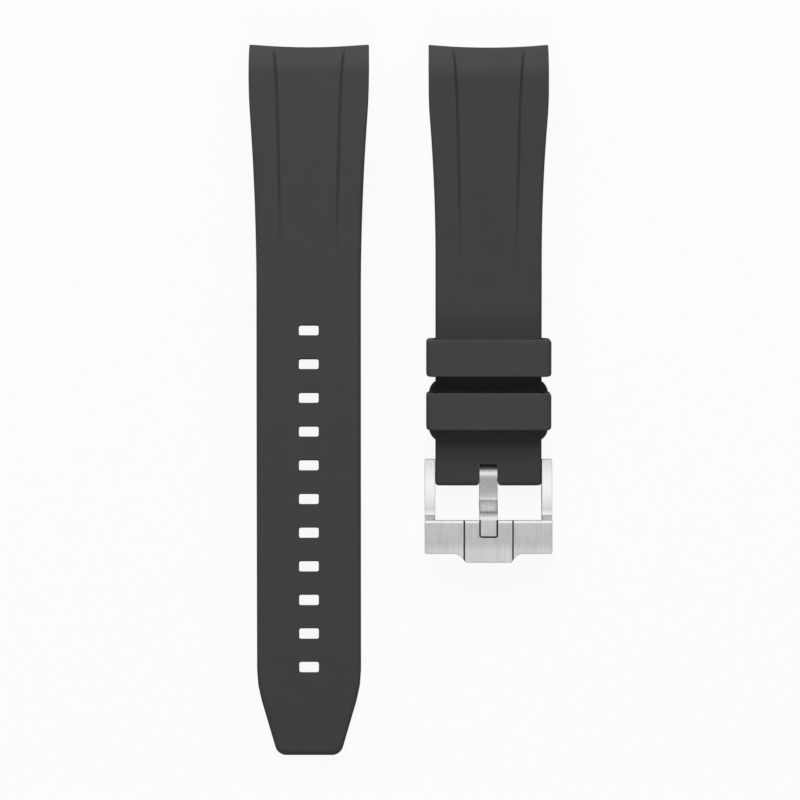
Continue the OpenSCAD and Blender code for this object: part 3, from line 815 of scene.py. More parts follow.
class Plan:
    """A flat mesh in strap coordinates. Points that meet are shared."""

    def __init__(self):
        self.points, self.gaps, self.faces, self.found = [], [], [], {}

    def point(self, x, v, gap=FAR):
        """Number of the point at this place."""
        key = (round(x / WELD), round(v / WELD))
        if key not in self.found:
            self.found[key] = len(self.points)
            self.points.append((x, v))
            self.gaps.append(gap)
        return self.found[key]

    def loop(self, places, gap=FAR):
        """Numbers of the points at these places."""
        return [self.point(x, v, gap) for x, v in places]

    def face(self, corners):
        """One face, without the corners that fall together."""
        face = [c for i, c in enumerate(corners) if c != corners[i - 1]]
        if len(face) > 2:
            self.faces.append(face)

    def grid(self, columns, rows, keep):
        """Faces between rows of columns, where keep allows them."""
        lines = [self.loop([(x, v) for x in xs]) for xs, v in zip(columns, rows)]
        for i in range(len(rows) - 1):
            for k in range(len(lines[i]) - 1):
                if keep(i, k):
                    low, high = lines[i], lines[i + 1]
                    self.face([low[k], low[k + 1], high[k + 1], high[k]])

    def bridge(self, rings):
        """Faces between closed rings, from the outermost inwards."""
        for outer, inner in zip(rings, rings[1:]):
            for i in range(len(outer)):
                k = (i + 1) % len(outer)
                self.face([outer[i], outer[k], inner[k], inner[i]])

    def solid(self, shape):
        """Vertices and faces of the solid between the shape's face and back."""
        upper, lower = shape.lift(np.array(self.points), np.array(self.gaps))
        count = len(self.points)
        faces = [list(f) for f in self.faces] + [[c + count for c in f[::-1]] for f in self.faces]
        edges = {(f[i - 1], f[i]) for f in self.faces for i in range(len(f))}
        for a, b in sorted(edges):
            if (b, a) not in edges:
                faces.append([a, a + count, b + count, b])
        return np.concatenate((upper, lower)), faces


def mesh_from(name, vertices, faces):
    """A closed mesh with doubled points joined and its faces turned outwards."""
    mesh = bpy.data.meshes.new(name)
    mesh.from_pydata([tuple(v) for v in vertices], [], faces)
    clean = bmesh.new()
    clean.from_mesh(mesh)
    bmesh.ops.remove_doubles(clean, verts=clean.verts, dist=WELD)
    bmesh.ops.dissolve_degenerate(clean, edges=clean.edges, dist=WELD)
    bmesh.ops.recalc_face_normals(clean, faces=clean.faces)
    clean.to_mesh(mesh)
    clean.free()
    return mesh


def prism(points, low, high, axis):
    """A straight bar: axis X takes a side view in (y, z) and Z takes a plan in (x, y)."""
    rows = []
    for level in (low, high):
        rows += [(level, a, b) if axis == "X" else (a, b, level) for a, b in points]
    count = len(points)
    sides = [[i, (i + 1) % count, (i + 1) % count + count, i + count] for i in range(count)]
    return mesh_from("bar", rows, [list(range(count)), list(range(count, 2 * count)), *sides])


def round_bar(radius, reach, place=(0, 0)):
    """A round bar across the strap, centred on X, at a place in side view."""
    turns = np.linspace(0, 2 * math.pi, 65)[:-1]
    points = [(place[0] + radius * math.cos(t), place[1] + radius * math.sin(t)) for t in turns]
    return prism(points, -reach, reach, "X")


def combine(base, tool, operation):
    """Joins the tool to the base, or cuts with it, and gives the new mesh."""
    holders = []
    for mesh in (base, tool):
        holder = bpy.data.objects.new("holder", mesh)
        bpy.context.scene.collection.objects.link(holder)
        holders.append(holder)
    modifier = holders[0].modifiers.new("combine", "BOOLEAN")
    modifier.operation = operation
    modifier.solver = "EXACT"
    modifier.object = holders[1]
    seen = holders[0].evaluated_get(bpy.context.evaluated_depsgraph_get())
    result = bpy.data.meshes.new_from_object(seen)
    for holder in holders:
        bpy.data.objects.remove(holder)
    shape = bmesh.new()
    shape.from_mesh(result)
    closed = all(edge.is_manifold for edge in shape.edges)
    shape.free()
    if not result.polygons or not closed:
        raise RuntimeError(f"The step {operation} did not leave a closed piece")
    return result


def cleaned(mesh):
    """The mesh without slivers, so that its edges can be bevelled in full."""
    shape = bmesh.new()
    shape.from_mesh(mesh)
    bmesh.ops.remove_doubles(shape, verts=shape.verts, dist=SLIVER)
    bmesh.ops.dissolve_degenerate(shape, edges=shape.edges, dist=SLIVER)
    bmesh.ops.dissolve_limit(shape, angle_limit=FLAT_ANGLE, verts=shape.verts,
                             edges=shape.edges)
    closed = all(edge.is_manifold for edge in shape.edges)
    shape.to_mesh(mesh)
    shape.free()
    if not closed:
        raise RuntimeError("Cleaning left an open piece")
    return mesh


def dressed(name, mesh, matrix, materials, body, slot, *nodes):
    """Places a finished mesh, gives it its materials and ties it to the frame."""
    mesh.transform(matrix)
    mesh.name = name
    mesh.materials.clear()
    for material in materials:
        mesh.materials.append(material)
    mesh.polygons.foreach_set("use_smooth", [True] * len(mesh.polygons))
    mesh.set_sharp_from_angle(angle=SHARP_ANGLE)
    piece = bpy.data.objects.new(name, mesh)
    bpy.context.scene.collection.objects.link(piece)
    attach(piece, body)
    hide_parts(*nodes)
    return piece


def weigh_normals(piece):
    """Keeps large faces flat next to their rounded edges."""
    modifier = piece.modifiers.new("weigh", "WEIGHTED_NORMAL")
    modifier.keep_sharp = True


def bevel_edges(piece, width):
    """Breaks the sharp edges of a milled piece."""
    modifier = piece.modifiers.new("bevel", "BEVEL")
    modifier.width = width
    modifier.segments = 3
    modifier.limit_method = "ANGLE"
    modifier.angle_limit = BEVEL_ANGLE
    modifier.harden_normals = True
    modifier.use_clamp_overlap = False


def bevel_rims(piece, width, tip):
    """Breaks a strip's edges along its sides and past the tip, but not at its seam."""
    shape = bmesh.new()
    shape.from_mesh(piece.data)
    weight = shape.edges.layers.float.new("bevel_weight_edge")
    for edge in shape.edges:
        a, b = (vertex.co for vertex in edge.verts)
        rim = abs(a.x - b.x) < abs(a.x - HINGE.x) / 2 or a.y - HINGE.y < tip
        edge[weight] = float(rim and edge.calc_face_angle(0) > SHARP_ANGLE)
    shape.to_mesh(piece.data)
    shape.free()
    bevel_edges(piece, width)
    piece.modifiers["bevel"].limit_method = "WEIGHT"


def at_hinge():
    """Place of the buckle's pieces, with the hinge axis as the origin."""
    return Matrix.Translation(HINGE)


def at_buckle_half():
    """Place of the buckle half's pieces, which lean about the hinge axis."""
    return at_hinge() @ Matrix.Rotation(BUCKLE_LEAN, 4, "X")


def at_tail(shape):
    """Place of the tail, which rests on its two horns and the underside of its tip."""
    horn = shape.rim - shape.lug.height * shape.up
    horn = horn + shape.case_sag(shape.lug.width / 2) * shape.along
    tip = np.array((shape.tip, float(shape.back_height(shape.tip))))
    rest = tip - horn
    lean = -math.atan(rest[1] / rest[0])
    bore = lug_bore(shape)
    turn = Matrix.Rotation(lean, 4, "X")
    return Matrix.Translation(TAIL_BORE - turn @ Vector((0, *bore))) @ turn


def lug_bore(shape):
    """Place of the watch's spring bar in side view, from the packed buckle half's mount."""
    mount = Vector(MOUNTS["lug_bore_buckle"]["pos_m"])
    local = at_buckle_half().inverted() @ mount
    half = bpy.context.scene.dive_strap.half
    return (local.y - half.body, local.z - half.end_radius)


def drilled(mesh, shape):
    """Cuts the hole for the watch's spring bar through a lug end."""
    bar = round_bar(BORE_RADIUS, shape.lug.width, lug_bore(shape))
    return combine(mesh, bar, "DIFFERENCE")


# Materials

def node_group(name, inputs, outputs):
    """An empty shader group with these named sockets, and its two end nodes."""
    group = bpy.data.node_groups.new(name, "ShaderNodeTree")
    for label, kind, default in inputs:
        socket = group.interface.new_socket(name=label, in_out="INPUT", socket_type=kind)
        socket.default_value = default
    for label, kind in outputs:
        group.interface.new_socket(name=label, in_out="OUTPUT", socket_type=kind)
    return group, group.nodes.new("NodeGroupInput"), group.nodes.new("NodeGroupOutput")


def add_node(tree, kind, **values):
    """A node with its attributes set by name."""
    node = tree.nodes.new(kind)
    for name, value in values.items():
        setattr(node, name, value)
    return node


def noise(tree, coordinates, stretch, scale, detail):
    """Noise whose grain is stretched along the axes."""
    mapping = add_node(tree, "ShaderNodeMapping")
    mapping.inputs["Scale"].default_value = stretch
    tree.links.new(coordinates, mapping.inputs["Vector"])
    texture = add_node(tree, "ShaderNodeTexNoise")
    texture.inputs["Scale"].default_value = scale
    texture.inputs["Detail"].default_value = detail
    tree.links.new(mapping.outputs["Vector"], texture.inputs["Vector"])
    return texture.outputs["Fac"]


def calculate(tree, operation, first, second, third=None):
    """A Math node on sockets or plain numbers."""
    node = add_node(tree, "ShaderNodeMath", operation=operation)
    for socket, value in zip(node.inputs, (first, second, third)):
        if isinstance(value, bpy.types.NodeSocket):
            tree.links.new(value, socket)
        elif value is not None:
            socket.default_value = value
    return node.outputs["Value"]


def brightened(tree, tint, factor):
    """A colour times a changing factor."""
    scaled = add_node(tree, "ShaderNodeVectorMath", operation="SCALE")
    tree.links.new(tint, scaled.inputs[0])
    tree.links.new(factor, scaled.inputs["Scale"])
    return scaled.outputs["Vector"]


SKIN_OUTPUTS = [("Color", "NodeSocketColor"), ("Roughness", "NodeSocketFloat"),
                ("Height", "NodeSocketFloat")]


def moulded_skin():
    """Shared group: the fine spark-eroded skin of moulded rubber, with a faint mottle."""
    name = "Moulded Skin"
    if name in bpy.data.node_groups:
        return bpy.data.node_groups[name]
    group, start, end = node_group(name, [
        ("Color", "NodeSocketColor", (0.03, 0.03, 0.03, 1)),
        ("Roughness", "NodeSocketFloat", 0.6),
        ("Mottle", "NodeSocketFloat", 0.1)], SKIN_OUTPUTS)
    place = add_node(group, "ShaderNodeTexCoord").outputs["Object"]
    cloud = noise(group, place, stretch=(1, 1, 1), scale=260, detail=4)
    grain = noise(group, place, stretch=(1, 1, 1), scale=9000, detail=2)
    swing = calculate(group, "MULTIPLY", calculate(group, "SUBTRACT", cloud, 0.5),
                      start.outputs["Mottle"])
    factor = calculate(group, "ADD", swing, 1.0)
    group.links.new(brightened(group, start.outputs["Color"], factor), end.inputs["Color"])
    rough = calculate(group, "MULTIPLY_ADD", calculate(group, "SUBTRACT", grain, 0.5), 0.16,
                      start.outputs["Roughness"])
    group.links.new(rough, end.inputs["Roughness"])
    group.links.new(grain, end.inputs["Height"])
    return group


def brushed_lines():
    """Shared group: long fine scratches along the strap, coarse and fine together."""
    name = "Brushed Lines"
    if name in bpy.data.node_groups:
        return bpy.data.node_groups[name]
    group, start, end = node_group(name, [
        ("Color", "NodeSocketColor", (0.6, 0.6, 0.6, 1)),
        ("Roughness", "NodeSocketFloat", 0.3),
        ("Contrast", "NodeSocketFloat", 0.3)], SKIN_OUTPUTS)
    place = add_node(group, "ShaderNodeTexCoord").outputs["Object"]
    fine = noise(group, place, stretch=(1, 0.03, 1), scale=11000, detail=2)
    coarse = noise(group, place, stretch=(1, 0.06, 1), scale=2600, detail=3)
    both = calculate(group, "ADD", calculate(group, "MULTIPLY", fine, 0.45),
                     calculate(group, "MULTIPLY", coarse, 0.55))
    swing = calculate(group, "MULTIPLY", calculate(group, "SUBTRACT", both, 0.5),
                      start.outputs["Contrast"])
    factor = calculate(group, "ADD", swing, 1.0)
    group.links.new(brightened(group, start.outputs["Color"], factor), end.inputs["Color"])
    rough = calculate(group, "MULTIPLY_ADD", swing, -0.5, start.outputs["Roughness"])
    group.links.new(rough, end.inputs["Roughness"])
    group.links.new(both, end.inputs["Height"])
    return group


def surface(name, group, tint, roughness, third, bump, bump_depth, **fixed):
    """A material whose colour, roughness and bump come from a shared group.

    The third value is the group's own: the mottle of rubber or the contrast of brushed lines.
    """
    material = bpy.data.materials.new(name)
    material.use_nodes = True
    tree = material.node_tree
    shader = next(n for n in tree.nodes if n.type == "BSDF_PRINCIPLED")
    for label, value in fixed.items():
        shader.inputs[label.replace("_", " ")].default_value = value
    skin = add_node(tree, "ShaderNodeGroup", node_tree=group)
    skin.inputs["Color"].default_value = (*tint, 1)
    skin.inputs["Roughness"].default_value = roughness
    skin.inputs[2].default_value = third
    relief = add_node(tree, "ShaderNodeBump")
    relief.inputs["Strength"].default_value = bump
    relief.inputs["Distance"].default_value = bump_depth
    tree.links.new(skin.outputs["Height"], relief.inputs["Height"])
    tree.links.new(skin.outputs["Color"], shader.inputs["Base Color"])
    tree.links.new(skin.outputs["Roughness"], shader.inputs["Roughness"])
    tree.links.new(relief.outputs["Normal"], shader.inputs["Normal"])
    return material


def rubber(name, tint, roughness):
    """Matt black rubber."""
    return surface(name, moulded_skin(), tint, roughness, third=0.12, bump=0.25,
                   bump_depth=0.02 * MM, Specular_IOR_Level=0.06)


def steel(name, tint, roughness, contrast, bump):
    """Stainless steel with brushed lines."""
    return surface(name, brushed_lines(), tint, roughness, third=contrast, bump=bump,
                   bump_depth=0.01 * MM, Metallic=0.9)


# The brushed steel on the buckle's bar and on the tongue's tip
BRUSHED = {"roughness": 0.34, "contrast": 0.5, "bump": 0.35}


# Operators

def build_half(shape, finish, label, name, place, body, node):
    """One rubber half: drawn, drilled for the watch's spring bar, dressed and tied to its body."""
    mesh = drilled(mesh_from(name, *shape.plan().solid(shape)), shape)
    skin = rubber(f"Strap Rubber {label}", finish.strap_colour, finish.rubber_roughness)
    weigh_normals(dressed(name, mesh, place, [skin], body, "rubber_strap", node))


class STRAP_OT_tail_half(Operator):
    """Build the long rubber half with its row of holes"""
    bl_idname = "dive_strap.tail_half"
    bl_label = "Tail Half"

    def execute(self, context):
        settings = context.scene.dive_strap
        shape = TailShape(settings)
        build_half(shape, settings.finish, "Tail", "tail_rubber", at_tail(shape), "tail_half",
                   "tail_strap")
        return {"FINISHED"}


class STRAP_OT_buckle_half(Operator):
    """Build the short rubber half with its ears and notch"""
    bl_idname = "dive_strap.buckle_half"
    bl_label = "Buckle Half"

    def execute(self, context):
        settings = context.scene.dive_strap
        bend = Matrix.Translation((0, settings.half.body, settings.half.end_radius))
        build_half(BuckleShape(settings), settings.finish, "Buckle Half", "buckle_half_rubber",
                   at_buckle_half() @ bend, "buckle_half", "buckle_strap")
        return {"FINISHED"}


def keeper_mesh(sizes):
    """A loop of rubber round the strap, swept as one rounded section."""
    outer = outline(box_corners(sizes.width, sizes.height, sizes.corner))
    inner = outline(box_corners(sizes.width - 2 * sizes.wall, sizes.height - 2 * sizes.wall,
                                sizes.corner / 3))
    half = sizes.along / 2
    core = np.array((sizes.width, sizes.height)) / 2 - sizes.corner
    vertices = []
    for near, far in zip(inner, outer):
        side = unit(np.maximum(np.abs(far) - core, 0))[0]
        edge = sizes.edge + (sizes.side_edge - sizes.edge) * side
        section = outline([(0, -half, sizes.inner_edge), (sizes.wall, -half, edge),
                           (sizes.wall, half, edge), (0, half, sizes.inner_edge)])
        for out, along in section:
            place = near + (far - near) * out / sizes.wall
            vertices.append((place[0], along, place[1]))
    rings, ring = len(outer), len(section)
    faces = []
    for i in range(rings):
        for k in range(ring):
            a, b = i * ring + k, i * ring + (k + 1) % ring
            after = ((i + 1) % rings - i) * ring
            faces.append([a, b, b + after, a + after])
    return mesh_from("keeper", vertices, faces)


class STRAP_OT_keepers(Operator):
    """Build the free keeper and the fixed keeper"""
    bl_idname = "dive_strap.keepers"
    bl_label = "Keepers"

    def execute(self, context):
        settings = context.scene.dive_strap
        sizes, finish = settings.keeper, settings.finish
        for name, place, body in (("free_keeper", sizes.free_place, "free_keeper"),
                                  ("fixed_keeper", sizes.fixed_place, "buckle_half")):
            seat = Matrix.Translation((0, place, sizes.height / 2 - sizes.low))
            skin = rubber(f"Keeper Rubber {name}", finish.keeper_colour,
                          finish.rubber_roughness)
            weigh_normals(dressed(f"{name}_rubber", keeper_mesh(sizes), at_buckle_half() @ seat,
                                  [skin], body, "rubber_keeper", name))
        return {"FINISHED"}


def arm_side(s):
    """Side view of an arm, which steps up into the end of the bar."""
    low = -s.arm_height / 2
    foot = s.step + s.cove - s.bar
    crown = [(y, -low - (y + s.arm_peak) ** 2 / (2 * s.arm_round), 0)
             for y in np.linspace(s.arm_end - s.arm_corner, foot, 16)]
    end = (s.arm_end, crown[0][1] - s.arm_corner / 4, 0)
    cove_rise = 0.06 * MM
    return outline([
        (s.arm_end, low, s.arm_corner), end, *crown,
        (s.step - s.bar, crown[-1][1] + cove_rise, 0), (-s.bar, s.top - s.chamfer_fall, 0),
        (-s.bar - s.wing / 2, s.top - s.thickness, 0), (-s.bar - s.wing / 2, 0, s.arm_corner),
        (-s.bar, low, s.arm_corner)])


def bar_side(s, top):
    """Side view of the bar or its block: chamfered in front, then a slope that levels off."""
    bottom = s.top - s.thickness
    bend_from, bend_to = 0.5, 0.7
    face = []
    for share in (0, 0.25, bend_from, 0.54, 0.58, 0.62, 0.66, bend_to, 0.85, 1):
        if share < bend_from:
            level = share / 0.6
        else:
            level = 1 - max(bend_to - share, 0) ** 2 / 0.24
        face.append((-s.bar - s.chamfer - (s.block - s.chamfer) * share, top - s.drop * level))
    return [(-s.bar, bottom), (-s.bar, top - s.chamfer_fall), *face, (-s.bar - s.block, bottom)]


def slot_floor(s, tongue):
    """Height of the slot's floor, a little under the tongue's tip."""
    high = s.top + s.rise - s.rise / 2 - tongue.thickness / 2
    return high - tongue.thickness / 2 - tongue.tip_fall - tongue.tip_gap


def groove_bottom(s):
    """Height of the bottom of the grooves beside the block."""
    return s.top - s.drop - 2 * s.groove


def groove_across(s):
    """Place across of the grooves, on the sides of the block."""
    inset = 0.05 * MM
    return s.block_width / 2 - inset


def buckle_mesh(s, tongue):
    """The milled buckle: two arms, two wings and a raised block with a slot."""
    half, over = s.width / 2, MM
    block = s.block_width / 2
    corner = s.block_chamfer
    wings = outline(mirrored([
        (half, over - s.bar, 0), (half, -s.bar - s.wing, corner),
        (block + s.gusset, -s.bar - s.wing, 0),
        (block + s.gusset * 0.36, -s.bar - s.wing - s.gusset * 0.26, s.gusset / 2),
        (block, -s.bar - s.wing - s.gusset * 3 / 4, 0)]))
    middle = outline(mirrored([
        (block, over - s.bar, 0), (block, corner - s.bar - s.block, 0),
        (block - corner, -s.bar - s.block, 0)]))
    high = 2 * s.arm_height
    parts = []
    for plan, top, reach in ((wings, s.top, half), (middle, s.top + s.rise, block)):
        side = prism(bar_side(s, top), -reach, reach, "X")
        parts.append(combine(side, prism(plan, -s.arm_height, high, "Z"), "INTERSECT"))
    body = combine(*parts, "UNION")
    for ends in ((half - s.arm, half), (-half, s.arm - half)):
        body = combine(body, prism(arm_side(s), *ends, "X"), "UNION")
    slot_half = tongue.tip_width / 2 + tongue.slot_gap
    slot_end = -tongue.reach - tongue.slot_gap
    slot = outline([(-slot_half, over - s.bar, 0), (-slot_half, slot_end, 2 * tongue.slot_gap),
                    (slot_half, slot_end, 2 * tongue.slot_gap), (slot_half, over - s.bar, 0)])
    cuts = [round_bar(s.pin, s.width), prism(slot, slot_floor(s, tongue), high, "Z")]
    for side in (-1, 1):
        near = side * groove_across(s)
        line = rectangle(near - s.groove / 2, near + s.groove / 2, over - s.bar,
                         -s.bar - s.block - over)
        cuts.append(prism(line, groove_bottom(s), high, "Z"))
    for cut in cuts:
        body = combine(body, cut, "DIFFERENCE")
    return cleaned(body)


def steel_kind(s, tongue, face):
    """Which steel a face gets: 1 on the arms, 2 in the slot and the grooves, a darker steel that paints their
    shade, 0 elsewhere.
    """
    x, y, z = face.center - HINGE
    if y > -s.bar - s.chamfer + WELD:
        return 1
    in_slot = (abs(x) < tongue.tip_width / 2 + tongue.slot_gap + WELD
               and y > -tongue.reach - 2 * tongue.slot_gap)
    in_groove = abs(abs(x) - groove_across(s)) < s.groove / 2 + WELD
    upright = abs(face.normal.z) < 0.5
    # Faces in the slot and the grooves get the darker steel, which paints the shade inside them
    for inside, bottom in ((in_slot, slot_floor(s, tongue)), (in_groove, groove_bottom(s))):
        if inside and z > bottom - WELD and (upright or z < bottom + WELD):
            return 2
    return 0


class STRAP_OT_buckle(Operator):
    """Build the steel thumb buckle with bright arms and a brushed bar"""
    bl_idname = "dive_strap.buckle"
    bl_label = "Buckle"

    def execute(self, context):
        settings = context.scene.dive_strap
        sizes, finish = settings.buckle, settings.finish
        mesh = buckle_mesh(sizes, settings.tongue)
        brushed = steel("Brushed Buckle Steel", finish.bar_colour, **BRUSHED)
        bright = steel("Bright Arm Steel", finish.arm_colour, 0.24, contrast=0.1, bump=0.1)
        # The third steel is darker only to paint the shade in the slot and the grooves
        painted_recess_shade = steel("Recessed Buckle Steel Painted Shade", finish.recess_painted_shade, 0.5, contrast=0.1, bump=0.1)
        piece = dressed("thumb_buckle", mesh, at_hinge(), [brushed, bright, painted_recess_shade], "frame",
                        "frame_steel", "buckle_frame")
        for face in mesh.polygons:
            face.material_index = steel_kind(sizes, settings.tongue, face)
        bevel_edges(piece, sizes.bevel)
        weigh_normals(piece)
        return {"FINISHED"}


# How much of the tongue's slope levels off, and the share of its rise that eases at each end
SLOPE_EASE = 0.9
RISE_EASE = 0.26


def tongue_line(s, high, edge):
    """Middle line of the tongue: round the loop, down a slope, up a rise, then to the tip."""
    loop = s.loop - s.thickness / 2
    turns = np.linspace(0, s.loop_turn, 8)
    line = [(-loop * math.sin(t), loop * math.cos(t)) for t in turns]
    leave = line.pop()
    for share in np.linspace(0, 1, 18)[:-1]:
        line.append((leave[0] - (s.rise_from + leave[0]) * share,
                     -s.low + (leave[1] + s.low) * (1 - share) * (1 - SLOPE_EASE * share)))
    for share in np.linspace(0, 1, 29):
        line.append((-s.rise_from - (s.rise_to - s.rise_from) * share,
                     -s.low + (high + s.low) * ramp(share, RISE_EASE)))
    line += [(-edge, high), (-s.reach, high - s.tip_fall)]
    return np.array(line)


def ramp(share, blend):
    """A straight rise from 0 to 1 whose two ends are eased over this share."""
    if share > 0.5:
        return 1 - ramp(1 - share, blend)
    eased = share - blend / 2 if share > blend else share ** 2 / (2 * blend)
    return eased / (1 - blend)


def uncrossed(line, offset):
    """The line moved by its offsets, without the points that fold back in tight bends."""
    moved = line + offset
    slack = 0.98
    reach = np.hypot(*offset[0]) * slack
    near = np.hypot(*(moved[:, None] - line[None]).transpose(2, 0, 1)).min(axis=1)
    return moved[near > reach]


def tongue_mesh(s, buckle):
    """The tongue: a strip that leaves its loop tangentially, cut to its plan, with a seam."""
    high = buckle.top + buckle.rise / 2 - s.thickness / 2
    line = tongue_line(s, high, buckle.bar)
    flow = np.gradient(line, axis=0)
    flow /= np.hypot(*flow.T)[:, None]
    flow[0] = (-1, 0)
    flow[-1] = (-1, 0)
    normal = np.stack((flow[:, 1], -flow[:, 0]), 1) * s.thickness / 2
    upper, lower = uncrossed(line, normal), uncrossed(line, -normal)
    clear = np.hypot(*lower.T) > s.loop
    lower = lower[np.argmax(clear):]
    meet = math.atan2(lower[0][1], lower[0][0])
    turns = np.linspace(meet % (2 * math.pi), 2.5 * math.pi, 60)[1:-1]
    loop = [(s.loop * math.cos(t), s.loop * math.sin(t)) for t in turns]
    side = [tuple(p) for p in upper] + [tuple(p) for p in lower[::-1]] + loop
    strip = prism(side, -s.width, s.width, "X")
    w, tip, tip_corner = s.width / 2, s.tip_width / 2, 0.2 * MM
    plan = outline(mirrored([(w, s.loop * 2, 0), (w, -s.rise_to, 0), (tip, -buckle.bar, 0),
                             (tip, -s.reach, tip_corner)]))
    strip = combine(strip, prism(plan, -buckle.arm_height, 2 * buckle.arm_height, "Z"),
                    "INTERSECT")
    strip = combine(strip, round_bar(s.bore, s.width), "DIFFERENCE")
    near, far, seam_turn = s.loop * 0.75, s.loop * 1.2, math.radians(50)
    cut = prism(rectangle(near, far, -s.seam / 2, s.seam / 2), -s.width, s.width, "X")
    cut.transform(Matrix.Rotation(seam_turn, 4, "X"))
    return cleaned(combine(strip, cut, "DIFFERENCE"))


class STRAP_OT_tongue(Operator):
    """Build the steel tongue with its loop and double bend"""
    bl_idname = "dive_strap.tongue"
    bl_label = "Tongue"

    def execute(self, context):
        settings = context.scene.dive_strap
        sizes = settings.tongue
        finish = settings.finish
        bright = steel("Tongue Steel", finish.tongue_colour, 0.28, contrast=0.2, bump=0.2)
        brushed = steel("Brushed Tongue Steel", finish.bar_colour, **BRUSHED)
        piece = dressed("buckle_pin_tongue", tongue_mesh(sizes, settings.buckle), at_hinge(),
                        [bright, brushed], "tongue", "tongue_steel", "buckle_tongue")
        for face in piece.data.polygons:
            face.material_index = int(face.center.y - HINGE.y < -settings.buckle.bar)
        bevel_rims(piece, sizes.bevel, sizes.bevel - sizes.reach)
        return {"FINISHED"}


def spring_mesh(s, side):
    """Half of the spring: a round wire wound outwards from the middle, its last turn closed."""
    size = node_size("spring_bar_spring")
    reach, coil = size.x / 2 - s.wire, size.z / 2 - s.wire
    turns = np.linspace(0, s.turns, s.turns * COIL_RINGS + 1)
    closed_turn = 2.1 * s.wire
    along = np.interp(turns, (0, s.turns - 1, s.turns), (0, reach - closed_turn, reach))
    points = []
    for turn, x in zip(turns * 2 * math.pi * side, along * side):
        for k in range(WIRE_SIDES):
            t = 2 * math.pi * k / WIRE_SIDES
            out = coil + s.wire * math.cos(t)
            points.append((x + s.wire * math.sin(t), out * math.cos(turn), out * math.sin(turn)))
    around = range(WIRE_SIDES)
    rings = range(0, len(points) - WIRE_SIDES, WIRE_SIDES)
    faces = [[r + k, r + (k + 1) % WIRE_SIDES, r + (k + 1) % WIRE_SIDES + WIRE_SIDES,
              r + k + WIRE_SIDES] for r in rings for k in around]
    return mesh_from("spring", points, [*faces, list(around),
                                        list(range(len(points) - WIRE_SIDES, len(points)))])


class STRAP_OT_spring_bar(Operator):
    """Wind the spring in two halves that the pins press together, and finish its bar"""
    bl_idname = "dive_strap.spring_bar"
    bl_label = "Spring Bar"

    def execute(self, context):
        settings = context.scene.dive_strap
        metal = steel("Spring Bar Steel", settings.finish.pin_colour, 0.3, contrast=0.2, bump=0.1)
        for part in ("tube", "plunger_left", "plunger_right"):
            node = frame["nodes"][f"spring_bar_{part}"]
            node.data.materials.clear()
            node.data.materials.append(metal)
        for side, name in ((-1, "left"), (1, "right")):
            piece = dressed(f"bar_spring_{name}", spring_mesh(settings.spring, side),
                            at_buckle_half(), [metal], "buckle_half", "bar_steel",
                            "spring_bar_spring")
            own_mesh(piece)
        return {"FINISHED"}


def aim(thing, place, target):
    """Puts a lamp or camera at a place and points it at a target."""
    thing.location = place
    thing.rotation_euler = (Vector(target) - Vector(place)).to_track_quat("-Z", "Y").to_euler()


def add_lamp(name, place, size, power):
    """A soft lamp that looks at the strap. The steel mirrors the studio, not the lamp."""
    data = bpy.data.lights.new(name, "AREA")
    data.shape = "RECTANGLE"
    data.size, data.size_y = size
    data.energy = power
    lamp = bpy.data.objects.new(name, data)
    bpy.context.scene.collection.objects.link(lamp)
    aim(lamp, place, (0, 0, 0))
    lamp.visible_glossy = False


# The studio that steel mirrors is brightest a little from overhead, towards the lug ends.
# Each band is the cosine of the angle from there and how bright the studio is.
MIRROR_LEAN = math.radians(10)
STUDIO_BANDS = ((0.0, 0.4), (0.64, 0.38), (0.77, 0.44), (0.866, 0.5), (0.94, 0.68), (0.966, 0.82),
                (0.99, 0.97), (1.0, 1.0))
# Light from all round: how far its bright side leans, what that adds, the even part, the least
SKY_LEAN = math.radians(50)
SKY_SIDE = 0.75
SKY_EVEN = 0.35
SKY_LEAST = 0.1
# Widths and heights of the lamps, and half the side of the table, in metres
KEY_SIZE = (0.75, 1.2)
FILL_SIZE = (0.6, 0.32)
TABLE_REACH = 3.0
# How much of the table the camera sees as plain white
PLAIN_WHITE = 0.93


def paint_world(strength):
    """Light from all round, a studio for the steel to mirror and plain white for the camera."""
    world = bpy.data.worlds.new("Studio")
    bpy.context.scene.world = world
    world.use_nodes = True
    tree = world.node_tree
    tree.nodes.clear()
    place = add_node(tree, "ShaderNodeTexCoord").outputs["Generated"]
    near, lit_side = (side_of(tree, place, lean) for lean in (MIRROR_LEAN, SKY_LEAN))
    bands = add_node(tree, "ShaderNodeValToRGB")
    elements = bands.color_ramp.elements
    while len(elements) < len(STUDIO_BANDS):
        elements.new(0.5)
    for element, (height, bright) in zip(elements, STUDIO_BANDS):
        element.position = height
        element.color = (bright, bright, bright, 1)
    tree.links.new(near, bands.inputs["Fac"])
    path = add_node(tree, "ShaderNodeLightPath")
    seen = calculate(tree, "MAXIMUM", path.outputs["Is Camera Ray"],
                     path.outputs["Is Transmission Ray"])
    glow = calculate(tree, "MULTIPLY_ADD", lit_side, SKY_SIDE * strength, SKY_EVEN * strength)
    least = calculate(tree, "MAXIMUM", glow, SKY_LEAST * strength)
    light = background(tree, (1, 1, 1, 1), least)
    mirrored_studio = background(tree, bands.outputs["Color"], 1)
    white = background(tree, (1, 1, 1, 1), 1)
    lit = blended(tree, path.outputs["Is Glossy Ray"], light, mirrored_studio)
    output = add_node(tree, "ShaderNodeOutputWorld")
    tree.links.new(blended(tree, seen, lit, white), output.inputs["Surface"])


def side_of(tree, place, lean):
    """Cosine of the angle from a direction that leans from overhead to the lug ends."""
    node = add_node(tree, "ShaderNodeVectorMath", operation="DOT_PRODUCT")
    node.inputs[1].default_value = (0, math.sin(lean), math.cos(lean))
    tree.links.new(place, node.inputs[0])
    return node.outputs["Value"]


